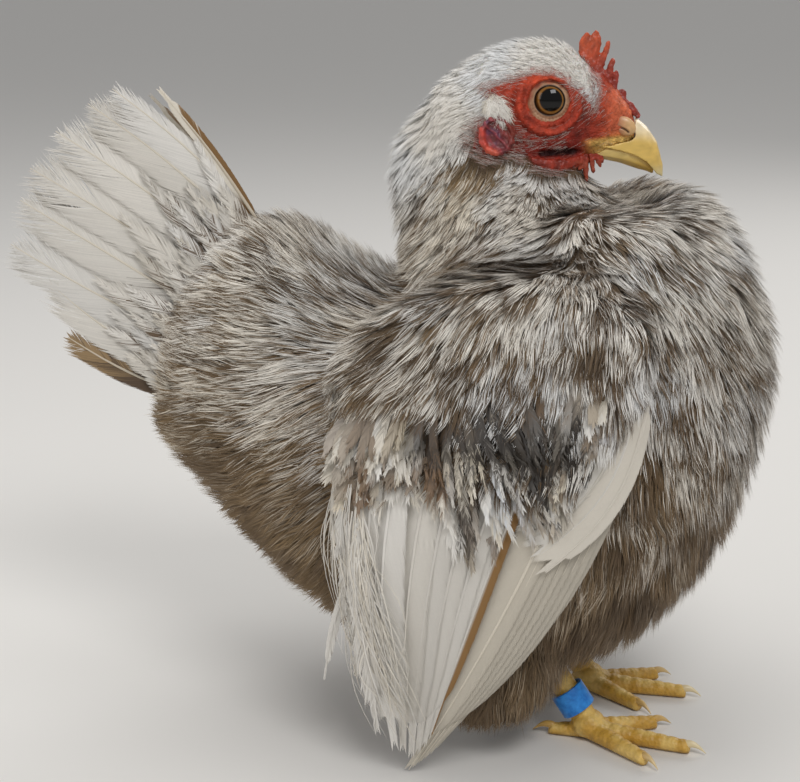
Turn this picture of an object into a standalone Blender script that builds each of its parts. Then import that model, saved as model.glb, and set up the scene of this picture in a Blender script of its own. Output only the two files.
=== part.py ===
# A Japanese bantam hen at life size, standing with its wings hung to the floor.
# Metres, +Z up, +X to the breast, +Y to the bird's left. The floor is at Z = 0.
import bisect
import math
import random

import bmesh
import bpy
from mathutils import Matrix, Vector

GAP = 0.0003  # kept between nodes that touch
VANE = 0.00055  # thickness of a feather's web
SHAFT = 0.0005  # how far a feather's shaft stands up from the web

# Torso, to the tips of its feathers: x, underside, top, half width
TORSO = [
    (-0.099, 0.083, 0.098, 0.010),
    (-0.092, 0.075, 0.120, 0.025),
    (-0.078, 0.062, 0.143, 0.036),
    (-0.062, 0.048, 0.1525, 0.043),
    (-0.042, 0.032, 0.1435, 0.049),
    (-0.018, 0.019, 0.134, 0.053),
    (0.004, 0.0135, 0.134, 0.056),
    (0.026, 0.0165, 0.142, 0.056),
    (0.046, 0.0245, 0.1575, 0.054),
    (0.061, 0.036, 0.1655, 0.048),
    (0.075, 0.055, 0.157, 0.038),
    (0.085, 0.079, 0.140, 0.025),
    (0.0905, 0.102, 0.122, 0.009),
]
TORSO_POWER = 2.15
RINGS = 26
SIDES = 28
BODY_TRIANGLES = 1700
HEAD_TRIANGLES = 760

# Neck with its cape of hackle: height, back, front, half width
NECK = [
    (0.100, -0.010, 0.062, 0.046),
    (0.118, -0.014, 0.066, 0.046),
    (0.133, -0.018, 0.066, 0.041),
    (0.145, -0.0205, 0.059, 0.0345),
    (0.156, -0.023, 0.048, 0.0255),
    (0.168, -0.0245, 0.034, 0.0180),
    (0.180, -0.0195, 0.027, 0.0138),
    (0.190, -0.0095, 0.022, 0.0105),
]
NECK_POWER = 2.1
NECK_PINCH = 0.42  # how much narrower the throat is than the nape, at the top

# Head, in its own frame: origin between the eyes, x to the bill
HEAD_PLACE = (0.0225, 0.0025, 0.1875)
HEAD_TURN = math.radians(12)
# x, underside, top, half width
HEAD = [
    (-0.033, -0.026, 0.0035, 0.0095),
    (-0.026, -0.026, 0.0090, 0.0132),
    (-0.016, -0.0245, 0.0148, 0.0148),
    (-0.006, -0.0225, 0.0170, 0.0140),
    (0.003, -0.0200, 0.0162, 0.0125),
    (0.009, -0.0180, 0.0125, 0.0106),
    (0.015, -0.0165, 0.0062, 0.0084),
    (0.0205, -0.0150, 0.0002, 0.0064),
    (0.0245, -0.0138, -0.0045, 0.0046),
]
HEAD_POWER = 2.2
EYE_RADIUS = 0.0062
EYE_OUT = 0.0076  # from the middle of the head to the eyeball's middle
EYE_VISIBLE = 0.0044
LID_WIDTH = 0.0009
EARLOBE_PLACE = (-0.0147, 0.0148, -0.0115)
EARLOBE_SIZE = (0.0058, 0.0026, 0.0068)
GAPE = (0.0075, 0.0066, -0.0136)  # middle of the slit at the corner of the mouth
GAPE_SLIT = (0.0052, 0.0040, 0.0003)

# Bill: x and z along the mouth line; then x, depth and half width of each half
MOUTH_LINE = [
    (0.0120, -0.0132),
    (0.0180, -0.0140),
    (0.0240, -0.0157),
    (0.0280, -0.0178),
    (0.0308, -0.0210),
    (0.0322, -0.0234),
    (0.0329, -0.0226),
]
UPPER_BILL = [
    (0.0120, 0.0105, 0.0070),
    (0.0180, 0.0112, 0.0062),
    (0.0240, 0.0108, 0.0051),
    (0.0280, 0.0096, 0.0040),
    (0.0308, 0.0090, 0.0027),
    (0.0322, 0.0070, 0.0016),
    (0.0329, 0.0034, 0.0007),
]
LOWER_BILL = [
    (0.0120, 0.0036, 0.0062),
    (0.0175, 0.0036, 0.0054),
    (0.0225, 0.0039, 0.0044),
    (0.0270, 0.0034, 0.0031),
    (0.0300, 0.0015, 0.0016),
]
NOSTRIL_PLACE = (0.0222, 0.0042, -0.0078)

# Comb: the line that its base follows, and the tip, base share and width of each point
COMB_BACK = (0.0100, 0.0112)
COMB_FRONT = (0.0262, -0.0066)
COMB_POINTS = [
    (0.0092, 0.0180, 0.02, 0.0024),
    (0.0133, 0.0186, 0.10, 0.0026),
    (0.0174, 0.0158, 0.25, 0.0013),
    (0.0190, 0.0110, 0.42, 0.0014),
    (0.0203, 0.0076, 0.57, 0.0015),
    (0.0225, 0.0026, 0.74, 0.0017),
]
COMB_THICK = 0.0012
WATTLE_PLACE = (0.0045, 0.0092, -0.0190)
WATTLE_SIZE = (0.0075, 0.0017, 0.0031)
WATTLE_TURN = math.radians(16)

# Cuts between the fleshy nodes: a point, and the way to the far node
NECK_CREASE = Vector((-0.0228, 0.0, 0.1362))  # behind, where the neck leaves the back
NECK_FRONT = Vector((0.1200, 0.0, 0.1920))
NECK_HIGH = Vector((-0.0500, 0.0, 0.2600))
HEAD_SEAM = [  # side view of the seam under the head, from behind to the front
    Vector((-0.0600, 0.0, 0.1916)),
    Vector((0.0400, 0.0, 0.1635)),
    Vector((0.1200, 0.0, 0.2000)),
]
TAIL_CUT = (Vector((-0.064, 0.0, 0.120)), Vector((-0.963, 0.0, 0.268)))
THIGH_PLACE = (0.012, 0.030, 0.0305)
THIGH_SIZE = (0.026, 0.022, 0.0225)
CROP_PLACE = (0.047, 0.024, 0.149)  # the breast's swell beside the throat
CROP_SIZE = (0.022, 0.016, 0.0145)

# Legs
FOOT_X = 0.0415
FOOT_Y = 0.0165
FOOT_STAGGER = 0.007  # the left foot stands this far behind the right
ANKLE_Z = 0.0050
SHANK_LEAN = math.radians(35)  # backwards
SHANK_LENGTH = 0.0240
SHANK_RADIUS = 0.0036
TOE_RADIUS = 0.0030
# Toes: length, turn outwards in degrees, scutes
TOES = {
    "middle": (0.031, 4, 4),
    "outer": (0.024, 34, 3),
    "inner": (0.022, -32, 3),
    "hind": (0.012, 184, 2),
}
CLAW_LENGTH = 0.0068
CLAW_RADIUS = 0.0014
BAND_RADIUS = 0.00405
BAND_WALL = 0.0012
BAND_WIDTH = 0.0074
BAND_ALONG = 0.0085  # up the shank from the ankle

# Wing: the line that the flight feathers grow from, x and z at each end
WRIST = Vector((0.0600, 0.1130))
ELBOW = Vector((-0.0160, 0.0975))
WING_CLEAR = 0.0010
WING_TUCK = 0.0080  # how far the tips come in under the body
LAYER = 0.0038  # from one tier of feathers to the next, outwards
ARM_HEIGHT = 0.030
ARM_THICK = 0.0105
PRIMARIES = 7
SECONDARIES = 9
GREATER_COVERTS = 8
MEDIAN_COVERTS = 6
PRIMARY_TIPS = (Vector((0.0100, 0.0200)), Vector((-0.0030, 0.0012)))
SECONDARY_TIPS = (Vector((-0.0030, 0.0002)), Vector((-0.0215, 0.0420)))
WING_FLOOR = 0.0  # the lowest tips just reach the floor

# Tail: root line as seen from the side, and for shares down it the rise and reach
TAIL_ROOTS = (Vector((-0.0640, 0.1470)), Vector((-0.0840, 0.0990)))
TAIL_FAN = [
    (0.0, math.radians(51), 0.054),
    (0.17, math.radians(47), 0.066),
    (0.36, math.radians(39), 0.0735),
    (0.67, math.radians(24), 0.065),
    (1.0, math.radians(21), 0.036),
]
TAIL_FEATHERS = 7
TAIL_COVERTS = 4
TAIL_SUNK = 0.004
TAIL_WIDE = 0.021
TAIL_RIDGE = 0.0035
TAIL_SPREAD = 0.34  # sideways for each metre below the ridge
TAIL_SHAPE = ((0.0, 0.32), (0.34, 0.92), (0.68, 1.0), (0.90, 0.78), (1.0, 0.30))
WING_SHAPE = ((0.0, 0.34), (0.30, 0.92), (0.66, 1.0), (0.90, 0.62), (1.0, 0.18))
COVERT_SHAPE = ((0.0, 0.50), (0.45, 1.0), (0.80, 0.80), (1.0, 0.22))

draw = random.Random(11)


# Shared shaping
def between(stations, x):
    """Values at x on a smooth curve through the stations."""
    keys = [row[0] for row in stations]
    x = min(max(x, keys[0]), keys[-1])
    low = max(0, min(len(keys) - 2, bisect.bisect_right(keys, x) - 1))
    a, b = stations[low], stations[low + 1]
    span = b[0] - a[0]
    t = (x - a[0]) / span

    def slope(at, column):
        before, after = max(at - 1, 0), min(at + 1, len(keys) - 1)
        rise = stations[after][column] - stations[before][column]
        return rise / (keys[after] - keys[before]) * span

    found = []
    for column in range(1, len(a)):
        found.append(
            (2 * t**3 - 3 * t**2 + 1) * a[column]
            + (t**3 - 2 * t**2 + t) * slope(low, column)
            + (3 * t**2 - 2 * t**3) * b[column]
            + (t**3 - t**2) * slope(low + 1, column)
        )
    return found


def steps(first, last, count):
    return [first + (last - first) * k / (count - 1) for k in range(count)]


def oval(half_a, half_b, power, count):
    """Points round a rounded oval, as pairs."""
    found = []
    for k in range(count):
        angle = 2 * math.pi * k / count
        a, b = math.cos(angle), math.sin(angle)
        found.append(
            (
                half_a * math.copysign(abs(a) ** (2 / power), a),
                half_b * math.copysign(abs(b) ** (2 / power), b),
            )
        )
    return found


def add_object(name, bm, colour=None, rough=0.7):
    bmesh.ops.remove_doubles(bm, verts=bm.verts, dist=1e-7)
    bmesh.ops.recalc_face_normals(bm, faces=bm.faces)
    mesh = bpy.data.meshes.new(name)
    bm.to_mesh(mesh)
    bm.free()
    obj = bpy.data.objects.new(name, mesh)
    bpy.context.scene.collection.objects.link(obj)
    if colour:
        paint(obj, colour, rough)
    return obj


def paint(obj, colour, rough=0.7):
    material = bpy.data.materials.new(f"{obj.name}_{colour}")
    material.use_nodes = True
    shader = material.node_tree.nodes["Principled BSDF"]
    shader.inputs["Base Color"].default_value = (*COLOURS[colour], 1)
    shader.inputs["Roughness"].default_value = rough
    shader.inputs["Metallic"].default_value = 0
    obj.data.materials.clear()
    obj.data.materials.append(material)


COLOURS = {
    "mottled_feather": (0.42, 0.36, 0.29),
    "white_feather": (0.74, 0.71, 0.64),
    "red_skin": (0.60, 0.08, 0.05),
    "yellow_horn": (0.80, 0.58, 0.22),
    "yellow_scale": (0.72, 0.48, 0.16),
    "dark_eye": (0.03, 0.02, 0.01),
    "blue_band": (0.02, 0.22, 0.62),
}


def loft(name, rings, closed=False):
    """A skin over rings of points, capped at both ends, or joined end to end."""
    bm = bmesh.new()
    rows = [[bm.verts.new(p) for p in ring] for ring in rings]
    pairs = list(zip(rows, rows[1:]))
    if closed:
        pairs.append((rows[-1], rows[0]))
    else:
        bm.faces.new(rows[0])
        bm.faces.new(rows[-1])
    for low, high in pairs:
        for k in range(len(low)):
            after = (k + 1) % len(low)
            bm.faces.new((low[k], low[after], high[after], high[k]))
    return add_object(name, bm)


def ball(name, place, size, turn=None, segments=16, rings=10):
    """An ellipsoid with the half sizes given."""
    bm = bmesh.new()
    bmesh.ops.create_uvsphere(bm, u_segments=segments, v_segments=rings, radius=1)
    turned = (turn or Matrix.Identity(3)).to_4x4()
    bm.transform(Matrix.Translation(place) @ turned @ Matrix.Diagonal((*size, 1)))
    return add_object(name, bm)


def frame_along(way, side=Vector((0, 1, 0))):
    """Two directions across a way, the first as near to side as it can be."""
    across = (side - way * side.dot(way)).normalized()
    return across, way.cross(across).normalized()


def tube(name, path, radii, sides=10, flat=1.0):
    """A round tube along a path, each radius squeezed upwards by flat."""
    rings = []
    for k, point in enumerate(path):
        way = (path[min(k + 1, len(path) - 1)] - path[max(k - 1, 0)]).normalized()
        across, over = frame_along(way)
        ring = oval(radii[k], radii[k] * flat, 2, sides)
        rings.append([point + across * a + over * b for a, b in ring])
    return loft(name, rings)


# Working on whole pieces
def settle(obj):
    """Makes the modifiers' result the object's own mesh."""
    bpy.context.view_layer.update()
    graph = bpy.context.evaluated_depsgraph_get()
    mesh = bpy.data.meshes.new_from_object(obj.evaluated_get(graph))
    obj.modifiers.clear()
    obj.data = mesh
    return obj


def copy_of(obj, name):
    made = obj.copy()
    made.data = obj.data.copy()
    made.name = name
    bpy.context.scene.collection.objects.link(made)
    return made


def drop(*objects):
    for obj in objects:
        bpy.data.objects.remove(obj)


def grown(obj, by=GAP):
    """A copy with its skin moved out, for cutting a seat that leaves the gap."""
    made = copy_of(obj, obj.name + "_grown")
    bm = bmesh.new()
    bm.from_mesh(made.data)
    bm.normal_update()
    moves = [(v, v.normal * by * max(1.0, v.calc_shell_factor())) for v in bm.verts]
    for vertex, move in moves:
        vertex.co += move
    bm.to_mesh(made.data)
    bm.free()
    return made


def boolean(obj, operation, other, solver="EXACT"):
    modifier = obj.modifiers.new("cut", "BOOLEAN")
    modifier.operation = operation
    modifier.solver = solver
    modifier.object = other
    return settle(obj)


def largest_only(obj):
    """Keeps the biggest closed surface, which drops loose scraps and sealed hollows."""
    bm = bmesh.new()
    bm.from_mesh(obj.data)
    left = set(bm.faces)
    shells = []
    while left:
        todo = [left.pop()]
        shell = set(todo)
        while todo:
            for edge in todo.pop().edges:
                for face in edge.link_faces:
                    if face in left:
                        left.discard(face)
                        shell.add(face)
                        todo.append(face)
        shells.append(shell)
    shells.sort(key=lambda shell: -sum(face.calc_area() for face in shell))
    for shell in shells[1:]:
        bmesh.ops.delete(bm, geom=list(shell), context="FACES")
    loose = [v for v in bm.verts if not v.link_faces]
    bmesh.ops.delete(bm, geom=loose, context="VERTS")
    bm.to_mesh(obj.data)
    bm.free()
    return obj


def fuse(name, pieces, solver="MANIFOLD"):
    """One closed body from overlapping pieces."""
    rest = bpy.data.collections.new(name + "_pieces")
    bpy.context.scene.collection.children.link(rest)
    base = pieces[0]
    for piece in pieces[1:]:
        bpy.context.scene.collection.objects.unlink(piece)
        rest.objects.link(piece)
    modifier = base.modifiers.new("join", "BOOLEAN")
    modifier.operation = "UNION"
    modifier.operand_type = "COLLECTION"
    modifier.solver = solver
    modifier.collection = rest
    settle(base)
    drop(*pieces[1:])
    bpy.data.collections.remove(rest)
    base.name = name
    return largest_only(base)


def seat_on(obj, *carriers):
    """Cuts the object back from what carries it, leaving the gap."""
    for carrier in carriers:
        cutter = grown(carrier)
        boolean(obj, "DIFFERENCE", cutter, "MANIFOLD")  # a grown crease may cross itself
        drop(cutter)
    return largest_only(obj)


def fuse_soft(name, pieces, voxel, rounds):
    """Runs overlapping pieces together with soft creases between them."""
    bm = bmesh.new()
    for piece in pieces:
        bm.from_mesh(piece.data)
    obj = add_object(name, bm)
    remesh = obj.modifiers.new("skin", "REMESH")
    remesh.mode = "VOXEL"
    remesh.voxel_size = voxel
    smooth = obj.modifiers.new("soften", "SMOOTH")
    smooth.factor = 0.5
    smooth.iterations = rounds
    drop(*pieces)
    return settle(obj)


def thin_out(obj, triangles):
    """Fewer triangles, kept where the form bends."""
    obj.data.calc_loop_triangles()
    modifier = obj.modifiers.new("thin", "DECIMATE")
    modifier.ratio = triangles / len(obj.data.loop_triangles)
    return settle(obj)


def keep_side(obj, point, way):
    """Keeps what lies past the point along the way, and closes the cut."""
    bm = bmesh.new()
    bm.from_mesh(obj.data)
    everything = bm.verts[:] + bm.edges[:] + bm.faces[:]
    cut = bmesh.ops.bisect_plane(
        bm, geom=everything, plane_co=point, plane_no=way, clear_inner=True
    )
    rim = [e for e in cut["geom_cut"] if isinstance(e, bmesh.types.BMEdge)]
    bmesh.ops.holes_fill(bm, edges=rim, sides=0)
    bmesh.ops.triangulate(bm, faces=bm.faces)
    bm.to_mesh(obj.data)
    bm.free()
    return largest_only(obj)


def part_by_plane(obj, name, point, way):
    """Parts the far side from an object by a thin cut, and returns the far side."""
    way = way.normalized()
    far = copy_of(obj, name)
    keep_side(far, point + way * GAP / 2, way)
    keep_side(obj, point - way * GAP / 2, -way)
    return far


def mirrored(obj, name):
    """The same form on the bird's other side."""
    made = copy_of(obj, name)
    made.data.transform(Matrix.Diagonal((1, -1, 1, 1)))
    made.data.flip_normals()
    return made


def smooth_shade(obj, degrees=35):
    obj.data.shade_smooth()
    obj.data.set_sharp_from_angle(angle=math.radians(degrees))


# Body
def make_torso_form():
    rings = []
    for x in steps(TORSO[0][0], TORSO[-1][0], RINGS):
        low, high, half = between(TORSO, x)
        middle, rise = (low + high) / 2, (high - low) / 2
        ring = oval(half, rise, TORSO_POWER, SIDES)
        rings.append([Vector((x, a, middle + b)) for a, b in ring])
    return loft("torso_form", rings)


def make_neck_form():
    rings = []
    for z in steps(NECK[0][0], NECK[-1][0], 16):
        back, front, half = between(NECK, z)
        middle, reach = (back + front) / 2, (front - back) / 2
        pinch = NECK_PINCH * min(1.0, max(0.0, (z - 0.148) / 0.020))
        ring = []
        for a, b in oval(reach, half, NECK_POWER, SIDES):
            ring.append(Vector((middle + a, b * (1 - pinch * max(0.0, a / reach) ** 1.5), z)))
        rings.append(ring)
    return loft("neck_form", rings)


def head_matrix():
    return Matrix.Translation(HEAD_PLACE) @ Matrix.Rotation(HEAD_TURN, 4, "Z")


def make_head_form():
    rings = []
    for x in steps(HEAD[0][0], HEAD[-1][0], 18):
        low, high, half = between(HEAD, x)
        middle, rise = (low + high) / 2, (high - low) / 2
        ring = oval(half, rise, HEAD_POWER, SIDES)
        rings.append([Vector((x, a, middle + b)) for a, b in ring])
    form = loft("head_form", rings)
    form.data.transform(head_matrix())
    return form


def make_flesh():
    """Torso, neck and head as one soft form, feathers and all."""
    swells = []
    for side in (-1, 1):
        place = (THIGH_PLACE[0] - foot_shift(side), side * THIGH_PLACE[1], THIGH_PLACE[2])
        swells.append(ball("thigh_form", place, THIGH_SIZE))
        swells.append(ball("crop_form", (CROP_PLACE[0], side * CROP_PLACE[1], CROP_PLACE[2]), CROP_SIZE))
    return fuse_soft(
        "flesh",
        [make_torso_form(), make_neck_form(), make_head_form(), *swells],
        0.0011,
        6,
    )


def foot_shift(side):
    return FOOT_STAGGER if side > 0 else 0.0


def prism(name, corners, half):
    """A block whose side view has the corners given, half as wide again to each side."""
    rings = []
    for y in (-half, half):
        rings.append([Vector((corner.x, y, corner.z)) for corner in corners])
    return loft(name, rings)


def keep_inside(obj, cutter):
    boolean(obj, "INTERSECT", cutter)
    drop(cutter)
    return largest_only(obj)


def part_by_form(obj, name, make_cutter, keep=True):
    """Parts what lies inside a cutter from an object by a thin cut, and returns it."""
    inside = keep_inside(copy_of(obj, name), make_cutter(-GAP / 2)) if keep else None
    large = make_cutter(GAP / 2)
    boolean(obj, "DIFFERENCE", large)
    drop(large)
    largest_only(obj)
    return inside


def head_block(grow):
    low = Vector((0, 0, -grow))
    rear, front = HEAD_SEAM[0], HEAD_SEAM[-1]
    top = [Vector((front.x, 0, NECK_HIGH.z)), Vector((rear.x, 0, NECK_HIGH.z))]
    return prism("head_block", [corner + low for corner in HEAD_SEAM] + top, 0.08)


def neck_block(grow):
    low, rear = Vector((0, 0, -grow)), Vector((-grow, 0, 0))
    far = Vector((NECK_FRONT.x, 0, NECK_HIGH.z))
    corners = [NECK_CREASE + low + rear, NECK_FRONT + low, far, NECK_HIGH + rear]
    return prism("neck_block", corners, 0.08)


def thigh_block(side, grow):
    place = (THIGH_PLACE[0] - foot_shift(side), side * THIGH_PLACE[1], THIGH_PLACE[2])
    size = [half + 0.0012 + grow for half in THIGH_SIZE]
    return ball("thigh_block", place, size)


def make_fleshy_nodes():
    """The torso, neck, thighs and rump, and the finer head."""
    flesh = make_flesh()
    head = copy_of(flesh, "head")
    keep_inside(head, head_block(0.004))
    thin_out(head, HEAD_TRIANGLES)
    keep_inside(head, head_block(-GAP / 2))
    torso = thin_out(flesh, BODY_TRIANGLES)
    torso.name = "torso"
    part_by_form(torso, "above", head_block, keep=False)
    neck = part_by_form(torso, "neck", neck_block)
    rump = part_by_plane(torso, "rump", *TAIL_CUT)
    thighs = {}
    for name, side in (("right", -1), ("left", 1)):
        thighs[name] = part_by_form(torso, "thigh_" + name, lambda grow: thigh_block(side, grow))
    for obj in (torso, neck, head, *thighs.values()):
        paint(obj, "mottled_feather", 0.85)
    return torso, neck, head, rump, thighs


# Head
def finish_head(head):
    """Lids, eye sockets and the line of the mouth."""
    place = head_matrix()
    pieces = [head]
    for side in (-1, 1):
        lid_out = math.sqrt(EYE_RADIUS**2 - EYE_VISIBLE**2) + EYE_OUT
        rings = []
        for k in range(14):
            angle = 2 * math.pi * k / 14
            way = Vector((math.cos(angle), 0, math.sin(angle)))
            middle = Vector((0, side * lid_out, 0)) + way * (EYE_VISIBLE + LID_WIDTH * 0.7)
            ring = oval(LID_WIDTH, LID_WIDTH, 2, 5)
            rings.append([middle + way * a + Vector((0, b * 1.3, 0)) for a, b in ring])
        lid = loft("lid", rings, closed=True)
        lid.data.transform(place)
        pieces.append(lid)
    head = fuse("head", pieces)
    eyes = {}
    for name, side in (("right", -1), ("left", 1)):
        centre = place @ Vector((0, side * EYE_OUT, 0))
        turn = (place.to_3x3() @ Matrix.Rotation(math.pi / 2, 3, "X"))
        socket = ball("socket", centre, [EYE_RADIUS + GAP * 1.4] * 3, turn, 12, 8)
        boolean(head, "DIFFERENCE", socket)
        drop(socket)
        eyes[name] = ball("eye_" + name, centre, [EYE_RADIUS] * 3, turn, 14, 8)
        paint(eyes[name], "dark_eye", 0.1)
        smooth_shade(eyes[name], 60)
    for side in (-1, 1):
        x, y, z = GAPE
        slit = ball("gape_slit", (x, side * (y + 0.0022), z), GAPE_SLIT, None, 10, 6)
        slit.data.transform(place)
        boolean(head, "DIFFERENCE", slit)
        drop(slit)
    paint(head, "mottled_feather", 0.85)
    return largest_only(head), eyes


def bill_half(name, stations, up):
    """One half of the bill: flat at the mouth line, domed away from it."""
    rings = []
    for k in range(7):
        share = 1 - (1 - k / 6) ** 1.35
        x = stations[0][0] + (stations[-1][0] - stations[0][0]) * share
        line = between(MOUTH_LINE, x)[0] + up * GAP * 0.75
        deep, half = between(stations, x)
        ring = []
        for angle in steps(0, math.pi, 7):
            high = up * deep * math.sin(angle) ** 0.8
            ring.append(Vector((x, half * math.cos(angle), line + high)))
        for across in (-half * 0.33, half * 0.33):
            ring.append(Vector((x, across, line)))
        rings.append(ring)
    return loft(name, rings)


def make_bill(head):
    place = head_matrix()
    upper = bill_half("bill_upper", UPPER_BILL, 1)
    pieces = [upper]
    for side in (-1, 1):
        x, y, z = NOSTRIL_PLACE
        turn = Matrix.Rotation(math.radians(28), 3, "Y")
        pieces.append(ball("nostril_cover", (x, side * y, z), (0.0029, 0.0014, 0.0021), turn, 10, 6))
    upper = fuse("bill_upper", pieces)
    for side in (-1, 1):
        x, y, z = NOSTRIL_PLACE
        turn = Matrix.Rotation(math.radians(34), 3, "Y")
        middle = (x - 0.0006, side * (y + 0.0012), z - 0.0014)
        slit = ball("nostril", middle, (0.0018, 0.0011, 0.0003), turn, 8, 4)
        boolean(upper, "DIFFERENCE", slit)
        drop(slit)
    upper.data.transform(place)
    lower = bill_half("bill_lower", LOWER_BILL, -1)
    lower.data.transform(place)
    for half in (upper, lower):
        seat_on(half, head)
        paint(half, "yellow_horn", 0.35)
    return upper, lower


def lobe(name, base, tip, wide, thick):
    """A flat blunt lobe in the head's middle plane, from base to tip."""
    way = (tip - base).normalized()
    over = Vector((-way.z, 0, way.x))
    rings = []
    for share, width in ((0, 1.0), (0.55, 0.92), (0.86, 0.78), (1, 0.26)):
        middle = base.lerp(tip, share)
        deep = thick * (1 - 0.4 * share)
        ring = oval(wide * width, deep, 2.2, 6)
        rings.append([middle + over * a + Vector((0, b, 0)) for a, b in ring])
    return loft(name, rings)


def make_comb(head, upper):
    """Single comb: one blade from the bill up the forehead, cut into points."""
    back = Vector((COMB_BACK[0], 0, COMB_BACK[1]))
    front = Vector((COMB_FRONT[0], 0, COMB_FRONT[1]))
    rings = []
    for share in (-0.10, 0.10, 0.50, 0.90, 1.04):
        middle = back.lerp(front, share)
        over = Vector((back.z - front.z, 0, front.x - back.x)).normalized()
        high = 0.0030 * (0.5 if share in (-0.10, 1.04) else 1 - 0.3 * share)
        ring = oval(high, COMB_THICK * 1.25, 2.2, 8)
        rings.append([middle + over * a + Vector((0, b, 0)) for a, b in ring])
    pieces = [loft("blade", rings)]
    for tip_x, tip_z, share, wide in COMB_POINTS:
        tip, root = Vector((tip_x, 0, tip_z)), back.lerp(front, share)
        pieces.append(lobe("point", root - (tip - root).normalized() * 0.001, tip, wide, COMB_THICK))
    comb = fuse("comb", pieces)
    comb.data.transform(head_matrix())
    seat_on(comb, head, upper)
    paint(comb, "red_skin", 0.5)
    return comb


def make_side_lobes(head, neck, lower):
    """Ear lobes with a raised rim, and the small folded wattles."""
    place = head_matrix()
    made = []
    for name, side in (("right", -1), ("left", 1)):
        x, y, z = EARLOBE_PLACE
        lobe_form = ball("lobe", (x, side * y, z), EARLOBE_SIZE, None, 10, 6)
        rings = []
        for k in range(10):
            angle = 2 * math.pi * (k + 0.5) / 10
            way = Vector((math.cos(angle) * EARLOBE_SIZE[0], 0, math.sin(angle) * EARLOBE_SIZE[2]))
            middle = Vector((x, side * (y + 0.0015), z)) + way * 0.82
            ring = oval(0.0012, 0.0012, 2, 4)
            rings.append([middle + way.normalized() * a + Vector((0, b, 0)) for a, b in ring])
        rim = loft("rim", rings, closed=True)
        earlobe = fuse("earlobe_" + name, [lobe_form, rim])
        earlobe.data.transform(place)
        seat_on(earlobe, head, neck)
        x, y, z = WATTLE_PLACE
        turn = Matrix.Rotation(-side * WATTLE_TURN, 3, "Z")
        flap = ball("flap", (x, side * y, z), WATTLE_SIZE, turn, 12, 6)
        fold_place = (x + 0.0078, side * (y - 0.0028), z - 0.0012)
        fold = ball("fold", fold_place, (0.0022, 0.0019, 0.0042), None, 8, 6)
        wattle = fuse("wattle_" + name, [flap, fold])
        wattle.data.transform(place)
        seat_on(wattle, head, neck, lower)
        for obj in (earlobe, wattle):
            paint(obj, "red_skin", 0.5)
        made += [earlobe, wattle]
    return made


# Feathers that stand in the solids
def vane(surface, root, tip, width, shape, bow=0.0, layer=0.0, tilt=0.0, fore=0.4, floor=None):
    """A feather's web with its shaft, lying on a side surface y(x, z), on the bird's left."""
    line = tip - root
    over = Vector((line.y, -line.x)).normalized()
    segments = len(shape) - 1
    rows = []
    for share, spread in shape:
        middle = root + line * share + over * bow * math.sin(math.pi * share)
        slope = (line + over * bow * math.pi * math.cos(math.pi * share)).normalized()
        across = Vector((slope.y, -slope.x))
        row = []
        for reach in (-width * fore * spread, 0.0, width * (1 - fore) * spread):
            spot = middle - across * reach
            if floor is not None:
                spot.y = max(spot.y, floor)
            out = surface(spot.x, spot.y) + layer - tilt * reach
            row.append(Vector((spot.x, out, spot.y)))
        rows.append(row)
    bm = bmesh.new()
    grid = {}
    for k, row in enumerate(rows):
        for j, point in enumerate(row):
            ridge = SHAFT * (1 - 0.8 * k / segments) if j == 1 else 0
            grid[k, j, 1] = bm.verts.new(point + Vector((0, VANE / 2 + ridge, 0)))
            grid[k, j, 0] = bm.verts.new(point - Vector((0, VANE / 2, 0)))
    for k in range(segments):
        for j in range(2):
            for face in (0, 1):
                a, b = grid[k, j, face], grid[k + 1, j, face]
                c, d = grid[k + 1, j + 1, face], grid[k, j + 1, face]
                bm.faces.new((a, b, c))
                bm.faces.new((a, c, d))
        for j in (0, 2):
            bm.faces.new((grid[k, j, 0], grid[k + 1, j, 0], grid[k + 1, j, 1], grid[k, j, 1]))
    for k in (0, segments):
        for j in range(2):
            bm.faces.new((grid[k, j, 0], grid[k, j + 1, 0], grid[k, j + 1, 1], grid[k, j, 1]))
    return add_object("vane", bm)


# Wing
def body_side(x, z):
    """How far the torso and neck reach sideways at x and z, held at the widest below it."""
    low, high, half = between(TORSO, x)
    middle, rise = (low + high) / 2, (high - low) / 2
    up = min(0.999, max(0.0, (z - middle) / rise))
    torso = half * (1 - up**TORSO_POWER) ** (1 / TORSO_POWER)
    back, front, neck_half = between(NECK, z)
    along = min(0.999, abs(x - (back + front) / 2) / ((front - back) / 2))
    neck = neck_half * (1 - along**NECK_POWER) ** (1 / NECK_POWER) if z > NECK[0][0] else 0
    power = 8
    return (torso**power + neck**power) ** (1 / power) + WING_CLEAR


def wing_side(x, z):
    """The wing's own inner surface: the body's side, drawn in a little at the floor."""
    side = body_side(min(max(x, -0.030), 0.068), z)
    return side - WING_TUCK * max(0.0, (0.080 - z) / 0.080) ** 2


def root_at(share, above=0.0):
    """A point by the root line, from the wrist at 0 to the elbow at 1."""
    line = ELBOW - WRIST
    up = Vector((line.y, -line.x)).normalized()
    return WRIST + line * share + up * above


def eased_tip(tips, share, power):
    a, b = tips
    return Vector((a.x + (b.x - a.x) * share, a.y + (b.y - a.y) * share**power))


def flow(share):
    """The way that the wing's feathers point at a share of the root line."""
    if share < 0.30:
        tip = eased_tip(PRIMARY_TIPS, share / 0.30, 0.6)
    else:
        tip = eased_tip(SECONDARY_TIPS, (share - 0.30) / 0.70, 2.0)
    return (tip - root_at(share)).normalized()


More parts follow.
